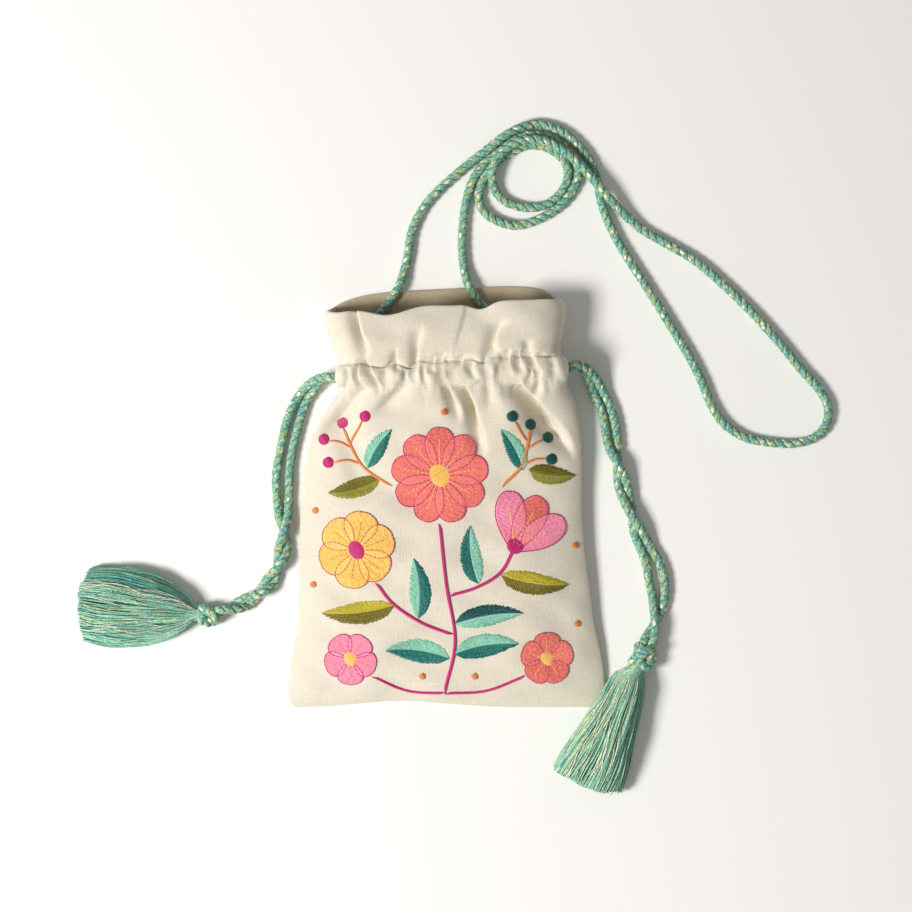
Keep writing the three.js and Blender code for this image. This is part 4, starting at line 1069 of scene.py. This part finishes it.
# %% [markdown]
# ## The panels
# Each panel is a fine grid over its form, pushed in along its own normal by the folds. A second grid, one
# thickness of cloth deeper, makes the inside, and a strip joins the two all the way round, so the panel is
# a closed sheet. The rim is thicker and rounded, as a turned hem is. The grid is closer at the casing,
# where the puckers are smallest, and at the bottom and the rim, which bend most. The drawcords and a band
# lie in the casing, so the front has a floor there that no crease goes below.

# %% Spacing and normals of the grid
CLOSER_ROWS = ((NECK_Y, 12, 1.5), (BOTTOM, 4, 1.5), (RIM, 2.0, 3.0))     # at, reach, how much closer


def panel_heights(count):
    even = np.linspace(BOTTOM, RIM, 400)
    want = np.ones_like(even)
    for at, reach, more in CLOSER_ROWS:
        want += more * hump(even, at, reach)
    far = np.concatenate([[0], np.cumsum((want[1:] + want[:-1]) / 2)])
    return np.interp(np.linspace(0, far[-1], count), far, even)


def grid_normals(points):
    across = np.gradient(points, axis=1)
    upward = np.gradient(points, axis=0)
    normals = np.cross(across, upward)
    return normals / np.maximum(np.linalg.norm(normals, axis=-1, keepdims=True), 1e-9)


# %% Room for the drawcords
CORD_ROOM = 2.45        # half of a drawcord in the tunnel, with a little air
LIP_REACH, LIP_TOP = 6.7, 7.15     # the band's lips, from the casing's middle and over the neck's
FLOOR_INSET, FLOOR_FADE = 4, 8     # where the floor starts from the sides, and over what length it comes in


def over_casing(up, t):
    """How far a place lies above the middle of the casing."""
    return up - NECK_Y - NECK_SKEW * t


def tunnel_floor(x, over):
    """How low the front may sink over the drawcords and over the lips of the band inside the casing."""
    beside = np.maximum(np.abs(over) - LANE, 0)
    cords = TURN_RADIUS + np.sqrt(np.maximum(CORD_ROOM**2 - beside**2, 0))
    over_neck = np.maximum(np.where(beside < CORD_ROOM, cords, 0), LIP_TOP)
    from_left, from_right = x - NECK_LEFT - FLOOR_INSET, NECK_RIGHT - FLOOR_INSET - x
    inside = smooth(from_left / FLOOR_FADE) * smooth(from_right / FLOOR_FADE)
    return np.where(np.abs(over) < LIP_REACH, inside * (NECK_Z + over_neck), 0)


# %% Fold the cloth
TUNNEL_HALF = 6.0       # creases are held shallow this far from the casing's middle
TUNNEL_LIMIT = 2.4      # deepest crease over the drawcords in the casing
PUFF, PUFF_WIDTH = 1.0, 3.6        # how far the casing swells between its creases
OPEN_LIMIT = 10.0       # how much deeper a crease may be outside the casing
PINCH_FROM, PINCH_FADE = -41, 6    # the upper stitches pinch the cloth from here to the right
PINCH, LOBE_PINCH = 0.3, 0.3       # depth of the pinch, and the share of a lobe's drop that is added
PINCH_AT, PINCH_REACH = -0.3, 0.9  # place over the line of stitches, and reach up and down
HANG_AT, SWELL_AT, LOBE_REACH = 2.4, 2.2, 2.0     # the same for a lobe, which hangs down and swells
STRAY_REACH = 4.0                  # how far up and down the cloth follows the line as it strays
SEAM_HOLD, PUFF_HOLD, CALM_SEAM = 0.08, 0.2, 0.25     # shares of the half width that the seam holds still
CALM_CASING, CALM_BOTTOM = 14, 10  # distances over which the slack comes in


def crease_limit(over):
    return TUNNEL_LIMIT + OPEN_LIMIT * smooth((np.abs(over) - TUNNEL_HALF) / 5)


def front_folds(x, up, t):
    """How far the front is pushed in, lapped over to the left and let down."""
    deep, lapped = creases(x, up, CREASES)
    from_seam = 1 - np.abs(t)
    over = over_casing(up, t)
    above = up - line_height(x, UPPER_STITCHES)
    held = smooth(from_seam / SEAM_HOLD)
    limit = crease_limit(over)
    swollen = PUFF * np.exp(-deep) * smooth(from_seam / PUFF_HOLD)
    deep = (deep + puckers(x, up, pucker_rows())) * held
    deep = limit * np.tanh(deep / limit) - swollen * hump(over, 0, PUFF_WIDTH)
    drop = lobe_drop(x) * held
    hung = drop * hump(above, HANG_AT, LOBE_REACH) - line_stray(x) * held * hump(above, 0, STRAY_REACH)
    pinched = smooth((x - PINCH_FROM) / PINCH_FADE)
    pinch = (PINCH + LOBE_PINCH * drop) * held * pinched * hump(above, PINCH_AT, PINCH_REACH)
    deep = deep + pinch - LOBE_SWELL * drop * hump(above, SWELL_AT, LOBE_REACH)
    calm = smooth(from_seam / CALM_SEAM) * smooth((np.abs(over) - TUNNEL_HALF) / CALM_CASING)
    calm = calm * smooth((up - BOTTOM) / CALM_BOTTOM)
    return deep - slack(x, up) * calm, lapped * held, hung


def back_folds(x, up, t):
    deep, lapped = creases(x, up, BACK_CREASES)
    return np.minimum(deep, crease_limit(over_casing(up, t))), lapped, 0


# %% The two layers of a panel
CLOTH = 1.0
HEM, HEM_DEPTH = 1.9, 9     # the rim is turned over and sewn, so it is nearly twice as thick
RIM_ROLL = 1.3
LEAST_CLOTH = 0.4       # thinnest place of the cloth where a crease presses on a cord
ANY_HEIGHT = 99


def panel_layers(columns, rows, front):
    """The outer and the inner grid of a panel, in millimetres."""
    u, y = np.linspace(-1, 1, columns)[None, :], panel_heights(rows)
    points, t, seam = plain_cloth(u, y, front)
    normals = grid_normals(points) * (1 if front else -1)
    deep, lapped, hung = (front_folds if front else back_folds)(points[..., 0], points[..., 1], t)
    to_rim = np.clip((RIM - y) / RIM_ROLL, 0, 1)[:, None]
    rolled = HEM / 2 * (1 - np.sqrt(1 - (1 - to_rim) ** 2))
    thick = CLOTH + (HEM - CLOTH) * smooth((y[:, None] - RIM + HEM_DEPTH) / 6)
    low, high = (seam + SEAM_HALF_GAP, ANY_HEIGHT) if front else (0, seam - SEAM_HALF_GAP)
    layers = []
    for inset, room in ((rolled, LEAST_CLOTH), (thick - rolled, 0)):
        layer = points - normals * (deep + inset)[..., None]
        layer[..., 0] -= lapped
        layer[..., 1] -= hung
        if front:
            floor = tunnel_floor(layer[..., 0], over_casing(layer[..., 1], t)) + room
            layer[..., 2] = np.maximum(layer[..., 2], floor)
        layer[..., 2] = np.clip(layer[..., 2], low, high)
        layers.append(layer)
    return layers


# %% Close the layers into a sheet
UV_HALF_WIDTH = 72 * MM
UV_STRETCH = 1.08       # the cloth is bowed, so it is longer than the panel is high
WELD = 0.001 * MM
FOLDED_OVER = math.radians(52)     # from this angle on, an edge of the cloth is shaded as a crisp fold


def border(columns, rows):
    """The grid's outer points in order, anticlockwise from its first corner."""
    index = np.arange(columns * rows).reshape(rows, columns)
    return np.concatenate([index[0, :-1], index[:-1, -1], index[-1, :0:-1], index[:0:-1, 0]])


def weld(piece):
    """Joins the points of both layers where they meet at the rim."""
    work = bmesh.new()
    work.from_mesh(piece.data)
    bmesh.ops.remove_doubles(work, verts=work.verts, dist=WELD)
    work.to_mesh(piece.data)
    work.free()


def panel_piece(name, columns, rows, front):
    outer, inner = panel_layers(columns, rows, front)
    faces, corners = grid_faces(rows, columns)
    edge = border(columns, rows)
    flat = [outer.reshape(-1, 3), inner.reshape(-1, 3)]
    one, two = edge, edge + columns * rows
    rim = np.stack([one, two, np.roll(two, -1), np.roll(one, -1)], axis=1)
    sides = [faces, faces[:, ::-1] + columns * rows, rim]
    if not front:
        sides = [side[:, ::-1] for side in sides]
    width = np.linspace(-UV_HALF_WIDTH, UV_HALF_WIDTH, columns)
    tall = (panel_heights(rows) - BOTTOM) * MM * UV_STRETCH
    place = np.stack([width[corners[..., 0]], tall[corners[..., 1]]], axis=-1)
    order = 1 if front else -1
    uv = np.concatenate([place[:, ::order].reshape(-1, 2), place[:, ::-order].reshape(-1, 2)])
    piece = make_piece(name, np.vstack(flat) * MM, np.concatenate(sides), linen, uv)
    piece.data.materials.append(linen_inner)
    inside = np.zeros(len(piece.data.polygons), np.int32)
    inside[len(faces):2 * len(faces)] = 1
    piece.data.polygons.foreach_set("material_index", inside)
    weld(piece)
    piece.data.set_sharp_from_angle(angle=FOLDED_OVER)
    return piece, outer * MM, faces


# %% Make both panels
front_panel, front_points, front_faces = panel_piece("front_linen", 256, 190, True)
back_panel, _, _ = panel_piece("back_linen", 110, 150, False)
for piece, node in ((front_panel, "front_panel"), (back_panel, "back_panel")):
    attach(piece, "root")
    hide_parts(node)
    print(piece.name, triangles_of(piece), "triangles")

# %% [markdown]
# ## The casing's inner band
# Inside the neck a narrow band is turned in to make the tunnel for the drawcords. It is a loop of cloth
# with two lips that meet the panels at the stitches. A hand that reaches in feels it. One outline is
# enough for it: a shallow trough, swept round the neck between the drawcords and the opening.

# %% Sweep the band
BAND_OUTLINE = (     # over the casing's middle, and out from the neck's
    (-6.2, 7.0), (-5.0, 7.0), (-5.0, 5.4), (5.0, 5.4), (5.0, 7.0), (6.2, 7.0), (6.2, 4.4), (-6.2, 4.4),
)
BAND_INSET = 17.0
BAND_RUN, BAND_BEND = 70, 24     # points on a straight run and round an end
BAND_WEAVE = (2.2 * MM, 1.2 * MM)     # cloth from one point to the next, across and round the neck
BAND_EDGE = math.radians(50)


def band_loop(radius, lift):
    left, right = NECK_LEFT + BAND_INSET, NECK_RIGHT - BAND_INSET
    run = np.linspace(0, 1, BAND_RUN, endpoint=False)
    bend = np.radians(np.linspace(90, -90, BAND_BEND, endpoint=False))
    x = np.concatenate([left + (right - left) * run, right + radius * np.cos(bend),
                        right + (left - right) * run, left - radius * np.cos(bend)])
    z = np.concatenate([np.full(BAND_RUN, radius), radius * np.sin(bend),
                        np.full(BAND_RUN, -radius), -radius * np.sin(bend)])
    return np.stack([x, neck_height(x) + lift, NECK_Z + z], axis=1)


rings = np.stack([band_loop(radius, lift) for lift, radius in BAND_OUTLINE], axis=1)
band_rows = np.vstack([rings, rings[:1]])
faces, corners = grid_faces(len(band_rows), len(BAND_OUTLINE), wrap=True)
faces = (faces % (len(rings) * len(BAND_OUTLINE)))[:, ::-1]
band = make_piece("casing_linen", rings.reshape(-1, 3) * MM, faces, linen_inner,
                  corners[:, ::-1].reshape(-1, 2) * BAND_WEAVE)
band.data.set_sharp_from_angle(angle=BAND_EDGE)
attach(band, "root")
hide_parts("casing_band")
print("casing band:", triangles_of(band), "triangles")

# %% [markdown]
# ## Running stitches
# Two lines of running stitches hold the casing. A stitch lies on the cloth for two millimetres, goes down
# and comes up again. A tree of geometry nodes places one small bent thread at each step along a line, and
# turns it to lie along the line with its back to the cloth.

# %% The tree for running stitches
# heights of a stitch's ends and of the point that bends it, in half thread thicknesses
STITCH_DIP, STITCH_BOW = -1.2, 2.6


def stitch_tree():
    tree, given = new_tree("running_stitches", Pitch="NodeSocketFloat", Length="NodeSocketFloat",
                           Thread="NodeSocketFloat", Yarn="NodeSocketMaterial")
    line = put(tree, "GeometryNodeMeshToCurve", given["Geometry"])
    steps = put(tree, "GeometryNodeResampleCurve", line.outputs[0], mode="LENGTH")
    tree.links.new(given["Pitch"], steps.inputs["Length"])
    half = calc(tree, "MULTIPLY", given["Length"], 0.5)
    low = calc(tree, "MULTIPLY", given["Thread"], STITCH_DIP)
    high = calc(tree, "MULTIPLY", given["Thread"], STITCH_BOW)
    start = put(tree, "ShaderNodeCombineXYZ", calc(tree, "MULTIPLY", half, -1.0), 0.0, low).outputs[0]
    middle = put(tree, "ShaderNodeCombineXYZ", 0.0, 0.0, high).outputs[0]
    end = put(tree, "ShaderNodeCombineXYZ", half, 0.0, low).outputs[0]
    bow = put(tree, "GeometryNodeCurveQuadraticBezier", 6, start, middle, end)
    profile = put(tree, "GeometryNodeCurvePrimitiveCircle", 6)
    tree.links.new(given["Thread"], profile.inputs["Radius"])
    stitch = put(tree, "GeometryNodeCurveToMesh", bow.outputs[0], profile.outputs[0], 1.0, True)
    lift = put(tree, "GeometryNodeInputNamedAttribute", "lift", data_type="FLOAT_VECTOR").outputs[0]
    tangent = put(tree, "GeometryNodeInputTangent").outputs[0]
    lying = put(tree, "FunctionNodeAlignRotationToVector", None, 1.0, tangent, axis="X")
    upright = put(tree, "FunctionNodeAlignRotationToVector", lying.outputs[0], 1.0, lift,
                  axis="Z", pivot_axis="X")
    sewn = put(tree, "GeometryNodeInstanceOnPoints", steps.outputs[0], None, stitch.outputs[0])
    tree.links.new(upright.outputs[0], sewn.inputs["Rotation"])
    close_tree(tree, sewn.outputs[0], given["Yarn"])
    return tree


running_stitches = stitch_tree()
print("made the tree", running_stitches.name, "with", len(running_stitches.nodes), "nodes")

# %% Find the cloth under a point
front_surface = BVHTree.FromPolygons(front_points.reshape(-1, 3).tolist(), front_faces.tolist())
DOWN = Vector((0, 0, -1))
OVER_ALL = 0.1          # a height in metres from which everything lies below


def on_front(x, y):
    """Where the front lies under a place given in millimetres: the point, in metres, and its normal."""
    place, normal, _, _ = front_surface.ray_cast(Vector((x * MM, y * MM, OVER_ALL)), DOWN)
    return (None, None) if place is None else (np.array(place), np.array(normal))


# %% Sew both lines of the casing
STITCH_SIZES = {"Pitch": 2.9 * MM, "Length": 2.0 * MM, "Thread": 0.17 * MM}
SEWN_ACROSS = np.arange(-47, 53, 0.7)
HIDDEN_TO, HIDING_DROP = -38, 0.9     # the ruffle hides the upper line left of this, and under larger lobes
sewing_cotton, _, _ = finish("sewing_cotton", Base_Color=paint(236, 226, 204), Roughness=0.7)


def stitched_line(name, line, under_ruffle):
    """Stitches along a line, apart from the places where the ruffle hides them."""
    across, stray = SEWN_ACROSS, np.zeros(len(SEWN_ACROSS))
    if under_ruffle:
        across = across[(across >= HIDDEN_TO) & (lobe_drop(across) <= HIDING_DROP)]
        stray = line_stray(across)
    found = [(x, *on_front(x, line_height(x, line) + up)) for x, up in zip(across, stray)]
    across, points, normals = zip(*[row for row in found if row[1] is not None])
    mesh = bpy.data.meshes.new(name)
    runs = [(k, k + 1) for k in range(len(points) - 1) if across[k + 1] - across[k] < 1]
    mesh.from_pydata(np.array(points).tolist(), runs, [])
    lift = mesh.attributes.new("lift", "FLOAT_VECTOR", "POINT")
    lift.data.foreach_set("vector", np.array(normals, np.float32).ravel())
    piece = bpy.data.objects.new(name, mesh)
    scene.collection.objects.link(piece)
    return grow(piece, running_stitches, Yarn=sewing_cotton, **STITCH_SIZES)


casing_stitches = [stitched_line("casing_stitches_low", LOWER_STITCHES, False),
                   stitched_line("casing_stitches_high", UPPER_STITCHES, True)]
for piece in casing_stitches:
    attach(piece, "root")
    print(piece.name, triangles_of(piece), "triangles")

# %% [markdown]
# ## Embroidery stitches
# The front carries a bouquet in coloured thread. Apart from the berries, which are whole threads side by
# side, it is made of three stitches: fill stitch, which lays rows of short threads side by side with their
# ends out of step, back stitch, which draws an outline in short dashes, and stem stitch, whose slanting
# overlaps look like a fine rope. Each stitch is one short line over the cloth with its two ends pulled
# under, and the tree for threads gives it a body.

# %% The three stitches
THREAD_HALF, THIN_HALF = 0.25, 0.2     # half of a thread's thickness in millimetres
DIP = 0.15              # the share of a stitch in which either end comes down to the cloth
SUNK = -0.05            # height of the ends, just under the cloth
LONG_STITCH = 4.2       # each such length adds a point, so that a long stitch follows the cloth
THREAD_TONES = (0.90, 1.08)
FILL_HEIGHT, FILL_UNEVEN, FILL_LENGTH = 0.30, 0.04, 3.2
FIRST_CUT, MOST_CUTS = 0.6, 20     # nearest place of a row's first cut, and how many cuts are tried
SHORTEST_ROW = 0.2
SHORTEST = 0.8          # a row isn't cut nearer than this to its ends
OVERLAP = 0.55          # how far a stitch of a row reaches back over the one before it
BACK_HEIGHT, BACK_PITCH, BACK_SHARE = 0.42, 1.9, 0.94     # a back stitch fills that share of its pitch
STEM_HEIGHT, STEM_STEP, STEM_SPAN = 0.48, 0.75, 4         # a stem stitch spans that many steps
needle = np.random.default_rng(4)
stitches = []           # points as x, y and height over the cloth; dye; half thickness


def stitch(start, end, dye, high, half=THREAD_HALF):
    start, end = np.asarray(start, float), np.asarray(end, float)
    over = np.linspace(DIP, 1 - DIP, 2 + int(np.linalg.norm(end - start) / LONG_STITCH))
    f = np.concatenate([[0], over, [1]])
    height = np.where((f > 0) & (f < 1), high, SUNK)
    tone = np.array([*(np.array(dye[:3]) * needle.uniform(*THREAD_TONES)), 1.0])
    stitches.append((np.column_stack([start + f[:, None] * (end - start), height]), tone, half))


def fill_row(start, end, dye):
    """A row of a filled shape, cut into short stitches at places that differ from row to row."""
    start, end = np.asarray(start, float), np.asarray(end, float)
    long = max(SHORTEST_ROW, np.linalg.norm(end - start))
    places = needle.uniform(FIRST_CUT, FILL_LENGTH) + np.arange(MOST_CUTS) * FILL_LENGTH
    cuts = [0.0, *places[(places > SHORTEST) & (places < long - SHORTEST)], long]
    for a, b in zip(cuts[:-1], cuts[1:]):
        back, ahead = max(0, a - OVERLAP) / long, b / long
        stitch(start + (end - start) * back, start + (end - start) * ahead, dye,
               FILL_HEIGHT + needle.uniform(-FILL_UNEVEN, FILL_UNEVEN))


def flat_line(line, step):
    return smooth_line(np.column_stack([line, np.zeros(len(line))]), step)[:, :2]


def back_stitch(line, dye, pitch=BACK_PITCH, half=THREAD_HALF, high=BACK_HEIGHT):
    points = flat_line(line, pitch)
    for a, b in zip(points[:-1], points[1:]):
        stitch(a, a + BACK_SHARE * (b - a), dye, high, half)


def stem_stitch(line, dye, wide=0.5):
    points = flat_line(line, STEM_STEP)
    along = np.gradient(points, axis=0)
    side = np.stack([-along[:, 1], along[:, 0]], axis=1) / np.linalg.norm(along, axis=1, keepdims=True)
    starts, ends = points - wide * side, points + wide * side
    for start, end in zip(starts, ends[STEM_SPAN:]):
        stitch(start, end, dye, STEM_HEIGHT)


# %% [markdown]
# ## Leaves, petals and berries
# Shapes are filled by running along their spine and laying one row of stitches at each step. A leaf is sewn
# in two halves from its midrib to its edge. A petal is crossed from side to side. A berry is crossed in
# parallel lines.

# %% Fill the shapes
ROW_PITCH = 0.40        # from one row of a fill to the next
LEAF_SLANT = 0.12       # how far a leaf's rows run ahead towards its tip, as a share of its length
RAGGED_EDGE = 0.35
PETAL_WIDEST = 0.6      # place of a petal's widest row along its spine
BERRY_HEIGHT, RIB_HEIGHT, RIB_PITCH = 0.45, 0.5, 2.2


def bow(base, tip, bend, s):
    """Points along a bowed line from base to tip, and the directions to its left."""
    base, tip, s = np.array(base, float), np.array(tip, float), np.asarray(s)[:, None]
    reach = tip - base
    middle = (base + tip) / 2 + bend * np.array([-reach[1], reach[0]])
    points = (1 - s) ** 2 * base + 2 * s * (1 - s) * middle + s**2 * tip
    along = (1 - s) * (middle - base) + s * (tip - middle)
    along /= np.linalg.norm(along, axis=1, keepdims=True)
    return points, np.stack([-along[:, 1], along[:, 0]], axis=1)


def leaf(base, tip, width, bend, left, right):
    long = math.dist(base, tip)
    s = np.arange(0.03, 0.97, ROW_PITCH / long)
    ahead = np.minimum(s + LEAF_SLANT, 0.995)
    spine, _ = bow(base, tip, bend, s)
    edge, side = bow(base, tip, bend, ahead)
    half = width / 2 * np.sin(np.pi * ahead**0.85) ** 0.8
    for hand, dye in ((1, left), (-1, right)):
        ragged = half + needle.uniform(-RAGGED_EDGE, RAGGED_EDGE, len(half)) * (half > 0.8)
        for a, b in zip(spine, edge + hand * ragged[:, None] * side):
            fill_row(a, b, dye)


def petal_half_width(s):
    rising = 0.34 + 0.66 * np.sin(np.pi / 2 * s / PETAL_WIDEST)
    rounded = np.sqrt(np.maximum(0, 1 - ((s - PETAL_WIDEST) / 0.42) ** 2))
    return np.where(s < PETAL_WIDEST, rising, rounded)


def petal(middle, bearing, inner, outer, width, dye, edge_dye, rib):
    ray = np.array([math.cos(math.radians(bearing)), math.sin(math.radians(bearing))])
    base, tip = np.array(middle) + inner * ray, np.array(middle) + outer * ray
    s = np.arange(0.0, 1.0, ROW_PITCH / (outer - inner))
    spine, side = bow(base, tip, 0, s)
    reach = width / 2 * petal_half_width(s)[:, None] * side
    for a, b in zip(spine - reach, spine + reach):
        fill_row(a, b, dye)
    back_stitch(np.vstack([(spine - reach)[::4], [tip], (spine + reach)[::-4]]), edge_dye)
    back_stitch(bow(base, tip, 0, np.linspace(0.05, 0.72, 5))[0], rib, RIB_PITCH, THIN_HALF, RIB_HEIGHT)


def berry(middle, radius, dye, bearing=30):
    c, s = math.cos(math.radians(bearing)), math.sin(math.radians(bearing))
    for off in np.arange(-radius + 0.2, radius, ROW_PITCH):
        half = math.sqrt(max(0.05, radius**2 - off**2))
        across = np.array([[-half, off], [half, off]]) @ np.array([[c, s], [-s, c]])
        stitch(middle + across[0], middle + across[1], dye, BERRY_HEIGHT)


def blossom(middle, radius, count, width, dye, edge_dye, rib, heart, heart_radius, turn=0):
    for k in range(count):
        petal(middle, turn + 360 * k / count, heart_radius * 0.7, radius, width, dye, edge_dye, rib)
    berry(np.array(middle, float), heart_radius, heart)


# %% [markdown]
# ## The bouquet
# The design is a common folk bouquet: one stem with a round blossom at its top, side stems with a smaller
# blossom and a tulip, two low stems with small blossoms, leaves, and sprays of berries. It uses the threads
# of the real pouch's palette: coral, pink, magenta, yellow, orange, teal, mint and olive.

# %% Colours of the threads
CORAL, PINK, MAGENTA = paint(240, 128, 118), paint(244, 150, 178), paint(196, 30, 116)
YELLOW, ORANGE, ROSE = paint(248, 204, 108), paint(226, 140, 70), paint(184, 84, 104)
TEAL, DEEP_TEAL, MINT = paint(24, 116, 108), paint(10, 84, 84), paint(142, 204, 180)
OLIVE, MOSS, LIME = paint(122, 110, 22), paint(152, 148, 52), paint(192, 176, 44)

# %% Sew the stems
stem_stitch([(-1, -90), (4, -66), (0, -40), (-3, -12)], MAGENTA, 0.6)
stem_stitch([(3, -63), (-12, -57), (-25, -48), (-32, -39)], MAGENTA, 0.6)
stem_stitch([(1, -45), (14, -41), (25, -34), (31, -23)], MAGENTA, 0.6)
stem_stitch([(-1, -90), (-18, -89), (-34, -82)], MAGENTA)
stem_stitch([(-1, -90), (18, -89), (36, -82)], MAGENTA)
for twig in (
    [(-25, 5), (-38, 14), (-43, 22), (-47, 32)], [(-39, 15), (-45, 17), (-52, 16)],
    [(-43, 22), (-48, 25), (-54, 26)], [(-44, 25), (-41, 30), (-38, 35)],
    [(25, 5), (34, 14), (36.5, 22), (38, 31)], [(35, 15), (41, 17.5), (46, 17.5)],
    [(36.5, 22), (41, 25), (44.5, 26.5)], [(37, 25), (33.5, 30), (31, 35)],
):
    stem_stitch(twig, ORANGE, 0.5 if len(twig) > 3 else 0.35)
print(len(stitches), "stitches in the stems")

# %% Sew the leaves
for base, tip, width, bend, left, right in (
    ((2, -74), (-28, -70), 10.5, -0.12, TEAL, MINT), ((3, -72), (33, -67), 10.5, 0.12, MINT, TEAL),
    ((-13, -56), (-15, -28), 9.5, -0.14, MINT, TEAL), ((15, -40), (11, -13), 9.5, 0.14, TEAL, MINT),
    ((-23, -49), (-57, -53), 10, 0.12, OLIVE, LIME), ((24, -35), (56, -40), 10, -0.12, LIME, OLIVE),
    ((3, -58), (35, -53), 9.5, 0.10, DEEP_TEAL, MINT), ((-30, 9), (-54, 2), 8.5, 0.12, MOSS, OLIVE),
    ((37, 13), (59, 10), 8.5, -0.12, OLIVE, MOSS), ((-36, 13), (-25, 31), 8, 0.12, MINT, TEAL),
    ((35, 12), (25, 31), 8, -0.12, TEAL, MINT),
):
    leaf(base, tip, width, bend, left, right)
print(len(stitches), "stitches with the leaves")

# %% Sew the blossoms, the tulip and the berries
blossom((-3, 10), 22, 9, 13.5, CORAL, MAGENTA, YELLOW, YELLOW, 5.4, 10)
blossom((-41, -24), 17.5, 6, 15.5, YELLOW, ROSE, ORANGE, MAGENTA, 4.4, 20)
blossom((-44, -74), 12, 5, 12, PINK, MAGENTA, CORAL, YELLOW, 3.2, 54)
blossom((46, -74), 12, 5, 12, CORAL, ROSE, YELLOW, YELLOW, 3.2, 18)
for bearing, dye in ((96, PINK), (28, PINK), (62, CORAL)):
    petal((31, -23), bearing, 0.5, 26, 14, dye, MAGENTA, YELLOW)
berry(np.array((31.5, -22.0)), 3.8, MAGENTA, 62)
for radius, dye, places in (
    (2.5, MAGENTA, ((-47.5, 34), (-54, 16), (-56, 26.5), (-37, 37))),
    (2.5, DEEP_TEAL, ((38.4, 33.4), (48, 17.5), (46.5, 27.5), (30, 37))),
    (1.5, ORANGE, ((-11, -82), (13, -82), (-61, -40), (60, -58), (-1, 39), (59, -22), (-60, -6))),
):
    for place in places:
        berry(np.array(place, float), radius, dye)
print(len(stitches), "stitches drawn")

# %% [markdown]
# ## Sew the bouquet onto the cloth
# So far the stitches are drawn on a flat picture. Each point is now dropped straight down onto the front
# panel and lifted off it along the cloth's normal, so the threads follow every fold. The work is shared
# between two pieces to keep each mesh light: the first has the stems, the leaves and the first petals of
# the large blossom.

# %% Drop the stitches onto the front
embroidery_silk = thread_finish("embroidery_silk", roughness=0.42, sheen=0.15, grain=2200, depth=0.10)


def sew(name, share):
    lines, dyes, thick = [], [], []
    for points, dye, half in share:
        places = [on_front(x, y) for x, y, _ in points]
        if all(place is not None for place, _ in places):
            lines.append(np.array([p + n * h * MM for (p, n), h in zip(places, points[:, 2])]))
            dyes.append(dye)
            thick.append(half * MM)
    gilt, bulge = np.zeros(len(lines)), np.zeros((len(lines), 3))
    return thread_piece(name, lines, dyes, thick, gilt, bulge, 4, embroidery_silk)


half_way = len(stitches) // 2
embroidery = [sew("embroidery_stems_leaves", stitches[:half_way]),
              sew("embroidery_flowers", stitches[half_way:])]
for piece in embroidery:
    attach(piece, "root")
    print(piece.name, triangles_of(piece), "triangles")
